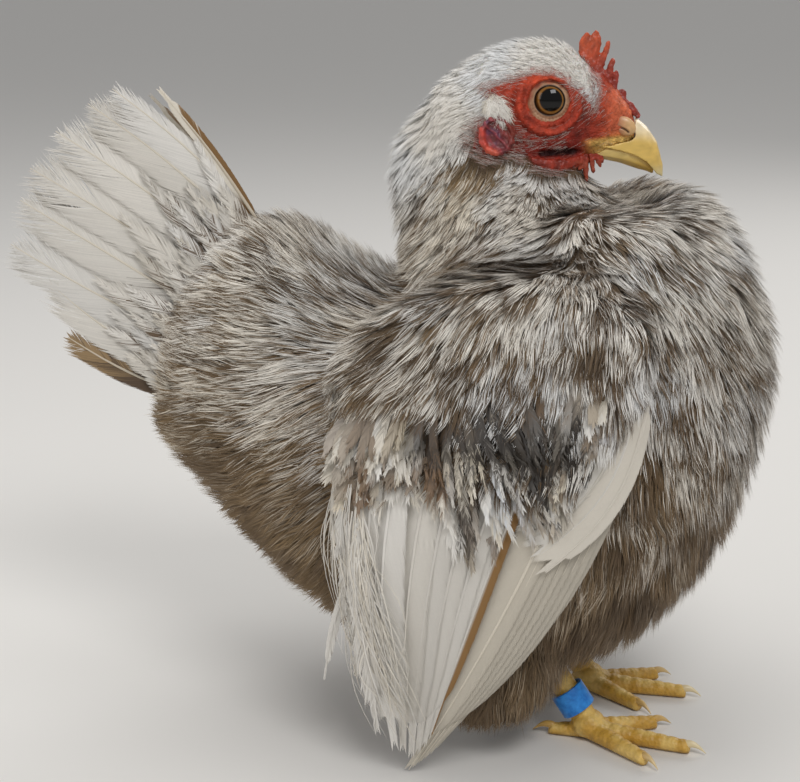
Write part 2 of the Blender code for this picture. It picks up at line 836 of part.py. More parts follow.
def wing_slab(name, first, last, low, high, inner, outer, columns, rows, dome=False):
    """A slab on the wing's surface, between two shares of the root line and two heights."""
    bm = bmesh.new()
    grid = {}
    for i in range(columns + 1):
        share = first + (last - first) * i / columns
        for j in range(rows + 1):
            up = j / rows
            above = low + (high - low) * up
            if dome:
                above *= 1 - 0.45 * abs(2 * i / columns - 1) ** 2.5
            spot = root_at(share, above)
            swell = 1.0
            if dome:
                swell = 1 - 0.90 * up**2.4
                swell *= 1 - 0.80 * max(0.0, 2 * i / columns - 1) ** 4
                swell *= 1 - 0.90 * max(0.0, 1 - 2 * i / columns) ** 3 * min(1.0, 0.25 + up)
            side = wing_side(spot.x, spot.y)
            grid[i, j, 0] = bm.verts.new((spot.x, side + inner, spot.y))
            grid[i, j, 1] = bm.verts.new((spot.x, side + inner + (outer - inner) * swell, spot.y))
    for i in range(columns):
        for j in range(rows):
            for face in (0, 1):
                a, b = grid[i, j, face], grid[i + 1, j, face]
                c, d = grid[i + 1, j + 1, face], grid[i, j + 1, face]
                bm.faces.new((a, b, c))
                bm.faces.new((a, c, d))
    for i in range(columns):
        for j in (0, rows):
            bm.faces.new((grid[i, j, 0], grid[i + 1, j, 0], grid[i + 1, j, 1], grid[i, j, 1]))
    for j in range(rows):
        for i in (0, columns):
            bm.faces.new((grid[i, j, 0], grid[i, j + 1, 0], grid[i, j + 1, 1], grid[i, j, 1]))
    return add_object(name, bm)


def make_primaries(name):
    bar = wing_slab("hand", -0.01, 0.30, -0.0065, -GAP, 0.0005, 0.0031, 4, 1)
    pieces = [bar]
    for k in range(PRIMARIES):
        share = k / (PRIMARIES - 1)
        root = root_at(0.02 + 0.25 * share, -0.0030)
        tip = eased_tip(PRIMARY_TIPS, share, 0.6)
        length = (tip - root).length * draw.uniform(0.985, 1.0)
        tip = root + (tip - root).normalized() * length
        pieces.append(
            vane(wing_side, root, tip, 0.0115, WING_SHAPE, bow=0.0060, layer=0.0019, tilt=0.27,
                 fore=0.36, floor=WING_FLOOR)
        )
    made = fuse(name, pieces)
    paint(made, "white_feather", 0.6)
    return made


def make_secondaries(name):
    bar = wing_slab("forearm", 0.22, 1.0, -0.0065, -GAP, 0.0004 + LAYER, 0.0032 + LAYER, 6, 1)
    pieces = [bar]
    for k in range(SECONDARIES):
        share = k / (SECONDARIES - 1)
        root = root_at(0.25 + 0.72 * share, -0.0030)
        tip = eased_tip(SECONDARY_TIPS, share, 2.0)
        length = (tip - root).length * draw.uniform(0.985, 1.0)
        tip = root + (tip - root).normalized() * length
        pieces.append(
            vane(wing_side, root, tip, 0.0185, WING_SHAPE, bow=0.0035, layer=0.0018 + LAYER,
                 tilt=0.115, fore=0.42, floor=WING_FLOOR)
        )
    made = fuse(name, pieces)
    paint(made, "white_feather", 0.6)
    return made


def make_arm(name):
    """The folded arm under its tiers of coverts."""
    pieces = [wing_slab("arm", -0.03, 1.06, GAP, ARM_HEIGHT, -0.0004, ARM_THICK, 9, 4, dome=True)]
    tiers = (
        (GREATER_COVERTS, 0.0035, 0.040, 0.0160, 2 * LAYER + 0.0014, -0.01),
        (MEDIAN_COVERTS, 0.0110, 0.027, 0.0165, 2 * LAYER + 0.0029, 0.02),
    )
    for count, above, length, width, layer, first in tiers:
        for k in range(count):
            share = first + (1.0 - first) * k / (count - 1)
            root = root_at(share, above)
            reach = length * draw.uniform(0.9, 1.08) * (0.80 + 0.20 * min(1, share * 4))
            tip = root + flow(max(0, share)) * reach
            pieces.append(
                vane(wing_side, root, tip, width, COVERT_SHAPE, bow=0.0015, layer=layer,
                     tilt=0.10, fore=0.45)
            )
    made = fuse(name, pieces)
    paint(made, "mottled_feather", 0.8)
    return made


# Tail
def tail_side(x, z):
    """Each half of the tail is one slope of a tent whose ridge is the top feather."""
    rise = TAIL_FAN[0][1]
    ridge = TAIL_ROOTS[0]
    below = (ridge.x - x) * math.sin(rise) - (z - ridge.y) * math.cos(rise)
    return TAIL_RIDGE + TAIL_SPREAD * max(0.0, below)


def tail_line(share):
    """Root, way and reach of a tail feather, from the top at 0 to the lowest at 1."""
    rise, reach = between(TAIL_FAN, share)
    return TAIL_ROOTS[0].lerp(TAIL_ROOTS[1], share), Vector((-math.cos(rise), math.sin(rise))), reach


def make_tail(rump):
    pieces = [rump]
    for mirror in (False, True):
        feathers = []
        for k in range(TAIL_FEATHERS):
            share = k / (TAIL_FEATHERS - 1)
            root, way, reach = tail_line(share)
            reach *= draw.uniform(0.985, 1.015)
            wide = TAIL_WIDE * (0.72 if k == 0 else 1.0)
            feathers.append(
                vane(tail_side, root - way * TAIL_SUNK, root + way * reach, wide, TAIL_SHAPE,
                     bow=-0.003, layer=0.0, tilt=-0.10, fore=0.5)
            )
        for k in range(TAIL_COVERTS):
            share = (k + 0.35) / TAIL_COVERTS
            root, way, reach = tail_line(share)
            reach *= draw.uniform(0.42, 0.50)
            feathers.append(
                vane(tail_side, root - way * TAIL_SUNK, root + way * reach, 0.0170, COVERT_SHAPE,
                     bow=-0.002, layer=0.0031, tilt=-0.10, fore=0.5)
            )
        if mirror:
            for feather in feathers:
                feather.data.transform(Matrix.Diagonal((1, -1, 1, 1)))
                feather.data.flip_normals()
        pieces += feathers
    tail = fuse("tail", pieces)
    paint(tail, "white_feather", 0.6)
    return tail


# Legs
def toe_tube(name, start, way, length, radius, scutes):
    """A toe with a flat sole and raised plates along its top."""
    rings = []
    side = Vector((-way.y, way.x, 0))
    for k in range(scutes):
        for along, swell in ((k + 0.08, 1.0), (k + 0.92, 1.13)):
            share = along / scutes
            size = radius * (1 - 0.32 * share) * swell
            middle = start + way * length * share
            rings.append(toe_ring(middle, side, size))
    tip = start + way * length
    rings.append(toe_ring(tip, side, radius * 0.40))
    return loft(name, rings)


def toe_ring(middle, side, size):
    """Seven points: a flat sole at the floor and a rounded top."""
    ring = []
    for angle in (232, 180, 128, 90, 52, 0, -52):
        a = math.radians(angle)
        high = size * (1 + math.sin(a)) if math.sin(a) > -0.5 else 0.0
        ring.append(middle + side * size * math.cos(a) + Vector((0, 0, high)))
    return ring


def make_leg(name, side, thigh, torso):
    """Foot with its claws, and the shank, of one leg."""
    centre = Vector((FOOT_X - foot_shift(side), side * FOOT_Y, 0))
    pieces = [ball("pad", centre + Vector((0, 0, ANKLE_Z)), (0.0056, 0.0054, 0.0050), None, 12, 8)]
    keep_side(pieces[0], Vector((0, 0, 0.0004)), Vector((0, 0, 1)))
    pieces[0].data.transform(Matrix.Translation((0, 0, -0.0004)))
    for toe, (length, turn, scutes) in TOES.items():
        heading = math.radians(turn * (side if abs(turn) < 90 else 1))
        way = Vector((math.cos(heading), math.sin(heading), 0))
        radius = TOE_RADIUS * (0.85 if toe == "hind" else 1)
        pieces.append(toe_tube("toe", centre, way, length, radius, scutes))
        root = centre + way * (length - 0.0024) + Vector((0, 0, 0.0024))
        path = []
        for share in steps(0, 1, 4):
            drop_by = 0.0016 * share**2 - 0.0010 * math.sin(math.pi * share)
            path.append(root + way * CLAW_LENGTH * share - Vector((0, 0, drop_by)))
        radii = [CLAW_RADIUS * (1 - 0.86 * share**1.3) for share in steps(0, 1, 4)]
        radii = [min(r, p.z * 0.95) for r, p in zip(radii, path)]
        pieces.append(tube("claw", path, radii, 5))
    foot = fuse("foot_" + name, pieces)
    paint(foot, "yellow_scale", 0.5)
    foot_top = centre + Vector((0, 0, ANKLE_Z))
    knee = foot_top + Vector((-math.sin(SHANK_LEAN), 0, math.cos(SHANK_LEAN))) * SHANK_LENGTH
    path, radii = [], []
    for k, share in enumerate(steps(0, 1, 7)):
        path.append(foot_top.lerp(knee, share))
        radii.append(SHANK_RADIUS * (1.04 if k % 2 else 0.98))
    shank = tube("shank_" + name, path, radii, 9)
    seat_on(shank, foot, thigh, torso)
    paint(shank, "yellow_scale", 0.5)
    return foot, shank


def make_band():
    """A ring of blue plastic on the right shank."""
    rings = []
    for k in range(16):
        angle = 2 * math.pi * k / 16
        way = Vector((math.cos(angle), math.sin(angle), 0))
        ring = []
        for radius, height in ((0, -1), (1, -1), (1, 1), (0, 1)):
            out = BAND_RADIUS + BAND_WALL * radius
            ring.append(way * out + Vector((0, 0, height * BAND_WIDTH / 2)))
        rings.append(ring)
    band = loft("leg_band", rings, closed=True)
    lift = Matrix.Translation((0, 0, BAND_ALONG))
    turn = Matrix.Rotation(-SHANK_LEAN, 4, "Y")
    band.data.transform(Matrix.Translation((FOOT_X, -FOOT_Y, ANKLE_Z)) @ turn @ lift)
    paint(band, "blue_band", 0.35)
    return band


def stand_at_origin():
    """Moves everything so that the box's middle is over the origin, with the soles on Z = 0."""
    solids = [obj for obj in bpy.data.objects if obj.type == "MESH"]
    spots = [v.co for obj in solids for v in obj.data.vertices]
    middle = [(min(p[i] for p in spots) + max(p[i] for p in spots)) / 2 for i in (0, 1)]
    for obj in solids:
        obj.data.transform(Matrix.Translation((-middle[0], -middle[1], 0)))


def main():
    for obj in list(bpy.data.objects):
        bpy.data.objects.remove(obj)
    torso, neck, head, rump, thighs = make_fleshy_nodes()
    head, eyes = finish_head(head)
    upper, lower = make_bill(head)
    make_comb(head, upper)
    make_side_lobes(head, neck, lower)
    make_tail(rump)
    for part, make in (("", make_arm), ("_secondaries", make_secondaries), ("_primaries", make_primaries)):
        left = make("wing_left" + part)
        mirrored(left, "wing_right" + part)
    for name, side in (("right", -1), ("left", 1)):
        make_leg(name, side, thighs[name], torso)
    make_band()
    stand_at_origin()
    for obj in bpy.data.objects:
        if obj.type == "MESH" and not obj.name.startswith("eye"):
            smooth_shade(obj)


main()
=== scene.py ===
import math

import bmesh
import bpy
import numpy as np
from mathutils import Matrix, Vector, noise
from mathutils.bvhtree import BVHTree
from mathutils.kdtree import KDTree


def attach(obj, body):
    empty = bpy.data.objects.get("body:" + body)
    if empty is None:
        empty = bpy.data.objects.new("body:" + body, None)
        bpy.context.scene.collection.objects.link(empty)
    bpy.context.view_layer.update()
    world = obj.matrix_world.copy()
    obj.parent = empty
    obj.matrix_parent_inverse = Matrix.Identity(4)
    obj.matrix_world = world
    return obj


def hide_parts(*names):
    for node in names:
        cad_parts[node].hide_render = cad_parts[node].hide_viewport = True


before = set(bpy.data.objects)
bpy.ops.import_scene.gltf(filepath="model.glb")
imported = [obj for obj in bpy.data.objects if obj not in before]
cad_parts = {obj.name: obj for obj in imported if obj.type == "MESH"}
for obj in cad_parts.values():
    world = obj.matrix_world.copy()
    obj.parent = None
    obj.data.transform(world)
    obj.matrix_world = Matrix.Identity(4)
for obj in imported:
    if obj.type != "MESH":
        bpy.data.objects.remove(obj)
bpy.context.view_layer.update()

mm = 0.001
draw = np.random.default_rng(20)

# The bird's own measures are in mm from a point under its breastbone, x to the breast,
# y outwards and z up; the row's origin lies a little behind that point.
bird = {
    "rowShift": 24.018,
    "headPlace": (22.5, 2.5, 187.5),  # between the eyes
    "headTurn": math.radians(12),
    "eyeAt": (0.6, 0.15),
    "eyeOut": 7.6,
    "eyeRadius": 6.2,
    "skinVoxel": 1.55,
}

palette = {
    "white": "#ebe7e0",
    # bluish white: the feathers' white with a painted cool sheen
    "sheenWhite": "#dde1e6",
    "cream": "#dccfb6",
    "tan": "#a58a62",
    "gold": "#8a6638",
    "taupe": "#7d6a55",
    "brown": "#624d37",
    "dark": "#352a21",
    "umber": "#6f5233",
    "sable": "#211912",
}


def linear(text):  # sRGB hex to linear numbers
    parts = np.array([int(text[k:k + 2], 16) for k in (1, 3, 5)]) / 255
    return np.where(parts <= 0.04045, parts / 12.92, ((parts + 0.055) / 1.055) ** 2.4)


def colour(text):
    return (*[float(part) for part in linear(text)], 1.0)


shade = {name: linear(text) for name, text in palette.items()}


def blend(a, b, share):  # two colours, or rows of them, mixed by a share or rows of shares
    share = np.clip(np.asarray(share, float), 0, 1)[..., None]
    return np.asarray(a) * (1 - share) + np.asarray(b) * share


def ease(value, low, high):
    t = np.clip((np.asarray(value, float) - low) / (high - low), 0, 1)
    return t * t * (3 - 2 * t)


def unit(rows):
    return rows / np.maximum(np.linalg.norm(rows, axis=-1, keepdims=True), 1e-12)


def along(table, x):  # smooth values at x between the rows of a table
    table = np.asarray(table, float)
    keys = table[:, 0]
    x = np.clip(np.asarray(x, float), keys[0], keys[-1])
    low = np.clip(np.searchsorted(keys, x, "right") - 1, 0, len(keys) - 2)
    index = np.arange(len(keys))
    before, after = np.maximum(index - 1, 0), np.minimum(index + 1, len(keys) - 1)
    slope = (table[after, 1:] - table[before, 1:]) / (keys[after] - keys[before])[:, None]
    span = (keys[low + 1] - keys[low])[..., None]
    t = (x[..., None] - keys[low][..., None]) / span
    return (
        (2 * t**3 - 3 * t**2 + 1) * table[low, 1:]
        + (t**3 - 2 * t**2 + t) * slope[low] * span
        + (3 * t**2 - 2 * t**3) * table[low + 1, 1:]
        + (t**3 - t**2) * slope[low + 1] * span
    )


def toRow(points):  # own mm to the row's metres
    return (np.asarray(points, float) + (bird["rowShift"], 0, 0)) * mm


def toOwn(points):
    return np.asarray(points, float) / mm - (bird["rowShift"], 0, 0)


def headAxes():
    c, s = math.cos(bird["headTurn"]), math.sin(bird["headTurn"])
    return np.array([[c, s, 0], [-s, c, 0], [0, 0, 1]])  # rows: the head's x, y and z


def toHead(points):  # own mm to the head's own mm
    return (np.asarray(points) - bird["headPlace"]) @ headAxes().T


def fromHead(points):
    return np.asarray(points) @ headAxes() + bird["headPlace"]


# Materials
def addNode(tree, kind, settings=None, links=None):
    node = tree.nodes.new("ShaderNode" + kind)
    for key, value in (settings or {}).items():
        if isinstance(key, str) and hasattr(node, key):
            setattr(node, key, value)
        else:
            node.inputs[key].default_value = value
    for key, source in (links or {}).items():
        tree.links.new(source, node.inputs[key])
    return node


def objectNoise(tree, spot, size, detail):  # noise on Object coordinates, its size in mm
    return addNode(
        tree, "TexNoise", {"Scale": 1 / (size * mm), "Detail": detail}, {"Vector": spot.outputs["Object"]}
    )


def newMaterial(name, sockets):
    material = bpy.data.materials.new(name)
    material.use_nodes = True
    tree = material.node_tree
    shader = tree.nodes["Principled BSDF"]
    for key, value in sockets.items():
        shader.inputs[key].default_value = value
    return material, tree, shader


def tintedMaterial(name, sockets, grain, spread, bumps):
    # The piece's own tint, varied by fine grain, with bumps of several sizes in mm.
    material, tree, shader = newMaterial(name, sockets)
    tint = addNode(tree, "Attribute", {"attribute_name": "tint"})
    spot = addNode(tree, "TexCoord")
    fine = objectNoise(tree, spot, grain, 3)
    level = addNode(
        tree, "MapRange", {"To Min": 1 - spread, "To Max": 1 + spread}, {"Value": fine.outputs["Fac"]}
    )
    mixed = addNode(
        tree,
        "Mix",
        {"data_type": "RGBA", "blend_type": "MULTIPLY", 0: 1.0},
        {6: tint.outputs["Color"], 7: level.outputs["Result"]},
    )
    tree.links.new(mixed.outputs[2], shader.inputs["Base Color"])
    last = None
    for kind, size, height, strength in bumps:
        if kind == "cells":
            cells = addNode(
                tree, "TexVoronoi", {"Scale": 1 / (size * mm)}, {"Vector": spot.outputs["Object"]}
            )
            out = cells.outputs["Distance"]
        else:
            out = objectNoise(tree, spot, size, 4).outputs["Fac"]
        bump = addNode(tree, "Bump", {"Strength": strength, "Distance": height * mm}, {"Height": out})
        if last:
            tree.links.new(last.outputs["Normal"], bump.inputs["Normal"])
        last = bump
    if last:
        tree.links.new(last.outputs["Normal"], shader.inputs["Normal"])
    return material


materials = {
    # feather keratin of body feathers: dull, soft, finely uneven from its barbules
    "plumage": tintedMaterial(
        "plumage", {"Roughness": 0.66, "Specular IOR Level": 0.25, "Sheen Weight": 0.12}, 0.35, 0.16, []
    ),
    # the close web of flight feathers: satin
    "flightWeb": tintedMaterial(
        "flightWeb", {"Roughness": 0.42, "Specular IOR Level": 0.4, "Sheen Weight": 0.06}, 0.6, 0.04, []
    ),
    # skin: under the coat hardly seen, on the face bare, fleshy and finely wrinkled
    "birdSkin": tintedMaterial(
        "birdSkin",
        {
            "Roughness": 0.55, "Specular IOR Level": 0.3, "Subsurface Weight": 0.08,
            "Subsurface Radius": (0.0016, 0.0006, 0.0003), "Subsurface Scale": 1.0,
        },
        0.8,
        0.20,
        [("noise", 1.4, 0.6, 0.8), ("cells", 0.62, 0.32, 0.9), ("noise", 0.25, 0.12, 0.7)],
    ),
    # comb, ear lobes and wattles: moist red flesh with small pimples
    "wattleFlesh": tintedMaterial(
        "wattleFlesh",
        {
            "Roughness": 0.42, "Subsurface Weight": 0.12,
            "Subsurface Radius": (0.0018, 0.0006, 0.0003), "Subsurface Scale": 1.0,
        },
        0.8,
        0.12,
        [("cells", 0.85, 0.25, 0.55), ("noise", 0.35, 0.1, 0.5)],
    ),
    # bill and claws: worn horn with a soft shine
    "horn": tintedMaterial(
        "horn", {"Roughness": 0.33, "Coat Weight": 0.15, "Coat Roughness": 0.25}, 1.4, 0.06,
        [("noise", 0.9, 0.06, 0.5)],
    ),
    # eyelids: thin skin in fine folds
    "lidSkin": tintedMaterial("lidSkin", {"Roughness": 0.48}, 0.5, 0.10, [("cells", 0.38, 0.12, 0.7)]),
    # scaled skin of shank and toes
    "legScale": tintedMaterial(
        "legScale", {"Roughness": 0.45}, 1.1, 0.12, [("cells", 1.0, 0.3, 0.7), ("noise", 0.4, 0.08, 0.5)]
    ),
}


def eyeMaterial(name):
    # A wet eye: black pupil, thin brown iris with a dark rim, read from the distance to its axis in mm.
    material, tree, shader = newMaterial(
        name,
        {
            "Roughness": 0.3, "Specular IOR Level": 0.0, "Coat Weight": 1.0, "Coat Roughness": 0.015,
            "Coat IOR": 1.36,
        },
    )
    away = addNode(tree, "Attribute", {"attribute_name": "fromAxis"})
    scaled = addNode(tree, "Math", {"operation": "DIVIDE", 1: bird["eyeRadius"]}, {0: away.outputs["Fac"]})
    ramp = addNode(tree, "ValToRGB", None, {"Fac": scaled.outputs[0]})
    rings = [
        (0.0, "#040303"), (2.95, "#050403"), (3.1, "#2a1807"), (3.3, "#7d5320"), (3.6, "#8f6227"),
        (3.85, "#3c2610"), (4.05, "#0c0805"), (6.2, "#080605"),
    ]
    ramp.color_ramp.elements.remove(ramp.color_ramp.elements[1])
    for k, (far, text) in enumerate(rings):
        share = far / bird["eyeRadius"]
        stop = ramp.color_ramp.elements[0] if k == 0 else ramp.color_ramp.elements.new(share)
        stop.position = share
        stop.color = colour(text)
    spot = addNode(tree, "TexCoord")
    flecks = objectNoise(tree, spot, 0.35, 2)
    level = addNode(tree, "MapRange", {"To Min": 0.7, "To Max": 1.25}, {"Value": flecks.outputs["Fac"]})
    mixed = addNode(
        tree, "Mix", {"data_type": "RGBA", "blend_type": "MULTIPLY", 0: 1.0},
        {6: ramp.outputs["Color"], 7: level.outputs["Result"]},
    )
    tree.links.new(mixed.outputs[2], shader.inputs["Base Color"])
    return material


def bandMaterial(name):  # moulded polypropylene: even blue, faintly scuffed
    material, tree, shader = newMaterial(name, {"Roughness": 0.38})
    spot = addNode(tree, "TexCoord")
    wear = objectNoise(tree, spot, 1.6, 5)
    ramp = addNode(tree, "ValToRGB", None, {"Fac": wear.outputs["Fac"]})
    ramp.color_ramp.elements[0].color = colour("#156fc4")
    ramp.color_ramp.elements[1].color = colour("#2f93e4")
    ramp.color_ramp.elements[0].position = 0.35
    ramp.color_ramp.elements[1].position = 0.7
    bump = addNode(tree, "Bump", {"Strength": 0.25, "Distance": 0.05 * mm}, {"Height": wear.outputs["Fac"]})
    tree.links.new(ramp.outputs["Color"], shader.inputs["Base Color"])
    tree.links.new(bump.outputs["Normal"], shader.inputs["Normal"])
    return material


materials["wetEye"] = eyeMaterial("wetEye")
materials["bandPlastic"] = bandMaterial("bandPlastic")


# Pieces
def treeOf(spots):
    tree = KDTree(len(spots))
    for k, spot in enumerate(spots):
        tree.insert(spot, k)
    tree.balance()
    return tree


def sideTree(spots):  # finds the nearest of some places as seen from the side
    return treeOf([(x, 0, z) for x, _, z in spots])


def around(count):  # angles of the points of a ring
    return np.arange(count) * 2 * math.pi / count


def setTint(mesh, rows):
    rows = np.asarray(rows, np.float32)
    layer = mesh.attributes.new("tint", "FLOAT_COLOR", "POINT")
    layer.data.foreach_set("color", np.hstack([rows, np.ones((len(rows), 1), np.float32)]).ravel())


def spotsOf(mesh):
    found = np.empty(len(mesh.vertices) * 3)
    mesh.vertices.foreach_get("co", found)
    return found.reshape(-1, 3)


def normalsOf(mesh):
    found = np.empty(len(mesh.vertices) * 3)
    mesh.vertex_normals.foreach_get("vector", found)
    return found.reshape(-1, 3)


def placeSpots(mesh, rows):
    mesh.vertices.foreach_set("co", np.asarray(rows, float).ravel())
    mesh.update()


def addPiece(name, mesh, material, stands=()):
    piece = bpy.data.objects.new(name, mesh)
    mesh.name = name
    bpy.context.scene.collection.objects.link(piece)
    mesh.materials.clear()
    mesh.materials.append(materials[material])
    mesh.shade_smooth()
    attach(piece, "root")
    if stands:
        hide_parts(*stands)
    return piece


def remeshed(mesh, voxel, rounds):
    # One closed, even surface round everything in a mesh; voxel in mm.
    obj = bpy.data.objects.new("form", mesh)
    bpy.context.scene.collection.objects.link(obj)
    grid = obj.modifiers.new("grid", "REMESH")
    grid.mode = "VOXEL"
    grid.voxel_size = voxel * mm
    smooth = obj.modifiers.new("smooth", "SMOOTH")
    smooth.factor = 0.5
    smooth.iterations = rounds
    made = bpy.data.meshes.new_from_object(obj.evaluated_get(bpy.context.evaluated_depsgraph_get()))
    bpy.data.objects.remove(obj)
    return made


def nodeForm(bm, node, grow=0.0):
    # Adds a merged copy of a CAD node to a bmesh, grown by some mm.
    one = bmesh.new()
    one.from_mesh(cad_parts[node].data)
    bmesh.ops.remove_doubles(one, verts=one.verts, dist=0.01 * mm)
    bmesh.ops.recalc_face_normals(one, faces=one.faces)
    for vert in one.verts:
        vert.co += vert.normal * grow * mm
    mesh = bpy.data.meshes.new("one")
    one.to_mesh(mesh)
    one.free()
    bm.from_mesh(mesh)
    bpy.data.meshes.remove(mesh)


def meshOf(bm):
    mesh = bpy.data.meshes.new("made")
    bm.to_mesh(mesh)
    bm.free()
    return mesh


def loft(bm, rings):
    # Bridges rings of points, one after the other, and closes the ends.
    loops = []
    for ring in rings:
        verts = [bm.verts.new(spot) for spot in ring]
        loops.append([bm.edges.new((a, b)) for a, b in zip(verts, verts[1:] + verts[:1])])
    for a, b in zip(loops, loops[1:]):
        bmesh.ops.bridge_loops(bm, edges=a + b)
    for loop in (loops[0], loops[-1]):
        bmesh.ops.holes_fill(bm, edges=loop, sides=0)
    bmesh.ops.recalc_face_normals(bm, faces=bm.faces)


def oval(halfA, halfB, power, count):
    a, b = np.cos(around(count)), np.sin(around(count))
    return halfA * np.sign(a) * np.abs(a) ** (2 / power), halfB * np.sign(b) * np.abs(b) ** (2 / power)


# Body under the coat
torso = [  # x, underside, top and half width, out to the feather tips
    (-99, 83, 98, 10), (-92, 75, 120, 25), (-78, 62, 143, 36), (-62, 48, 152.5, 43), (-42, 32, 143.5, 49),
    (-18, 19, 134, 53), (4, 13.5, 134, 56), (26, 16.5, 142, 56), (46, 24.5, 157.5, 54), (61, 36, 165.5, 48),
    (75, 55, 157, 38), (85, 79, 140, 25), (90.5, 102, 122, 9),
]
neckLine = [  # height, back, front and half width
    (100, -10, 62, 46), (118, -14, 66, 46), (133, -18, 66, 41), (145, -20.5, 59, 34.5), (156, -23, 48, 25.5),
    (168, -24.5, 34, 18), (180, -19.5, 27, 13.8), (190, -9.5, 22, 10.5),
]


def bodySide(x, z):  # how far torso and neck reach sideways
    low, high, half = along(torso, x).T
    up = np.clip((z - (low + high) / 2) / ((high - low) / 2), 0, 0.999)
    body = half * (1 - up**2.15) ** (1 / 2.15)
    back, front, neckHalf = along(neckLine, z).T
    share = np.clip(np.abs(x - (back + front) / 2) / ((front - back) / 2), 0, 0.999)
    neck = np.where(z > 100, neckHalf * (1 - share**2.1) ** (1 / 2.1), 0)
    return (body**8 + neck**8) ** 0.125 + 1.0


wing = {
    "wrist": np.array([60.0, 113.0]),  # x and z
    "elbow": np.array([-16.0, 97.5]),
    "tuck": 8.0,
    "primaryTips": (np.array([10.0, 20.0]), np.array([-3.0, 1.2])),
    "arm": (20.0, 121.0),  # middle of the folded arm, x and z
    "armHalf": (50.0, 10.0, 25.0),
    "cape": (20.0, 45.0, 130.5),  # middle of the soft slope from neck to arm, x, y and z
    "capeHalf": (44.0, 17.0, 18.0),
    # the way the coverts point: share of the arm from the wrist, degrees forward of straight down
    "flow": ((0, -16), (0.15, -8), (0.26, 16), (0.45, 24), (0.6, 12), (0.75, 0), (0.9, -12), (1, -20)),
    # coverts: number, height of the roots, share of the way to the line of tips, half width,
    # layer at root and at tip
    "tiers": (
        (30, -1.0, 1.00, 3.2, -4.6, 7.0), (36, 2.5, 0.84, 2.8, -4.6, 7.8), (42, 5.5, 0.68, 2.4, -4.6, 8.6),
        (46, 8.0, 0.56, 2.1, -4.4, 9.2), (46, 10.0, 0.47, 1.9, -4.2, 9.8),
    ),
    # line of the coverts' tips, x and z
    "coverTips": (
        (-24, 88), (-16, 80), (-11, 81), (-6, 86), (-1, 88), (4, 86), (8, 82), (11, 77), (14, 72), (18, 70.5),
        (26, 75), (34, 75), (43, 82), (46, 92), (52, 105), (58, 109),
    ),
    # coloured patches: x, z, half width, half height, colour, strength; the bluish white ones are white
    # feathers with a painted cool sheen
    "patches": (
        (-13, 87, 4, 7, "umber", 1.9), (8, 93, 4.5, 6, "umber", 1.9), (14, 106, 15, 7.5, "sable", 3.2),
        (32, 104, 11, 8, "sable", 3.2), (46.5, 101, 2.4, 12, "sable", 2.2), (38, 92, 2.5, 8, "sable", 1.8),
        (17, 81, 2.5, 8, "dark", 1.6), (55, 109, 4, 7, "sheenWhite", 0.9), (48, 86, 3.5, 8, "sheenWhite", 1.1),
        (28, 86, 9, 7, "sheenWhite", 0.9), (-2, 104, 5, 6, "cream", 0.8), (6, 112, 14, 7, "brown", 1.4),
        (34, 119, 14, 6, "brown", 1.6), (58, 119, 5, 4, "brown", 1.3),
    ),
    # corners of the folded blades: upper rear and front, lower front and rear, x and z
    "blades": ((-18, 106), (64, 116), (6, 8), (-22, 34)),
    "bladeLayer": 9.0,
}


def wingSide(x, z):
    side = bodySide(np.clip(x, -30, 68), z)
    return side - wing["tuck"] * np.maximum(0, (80 - z) / 80) ** 2


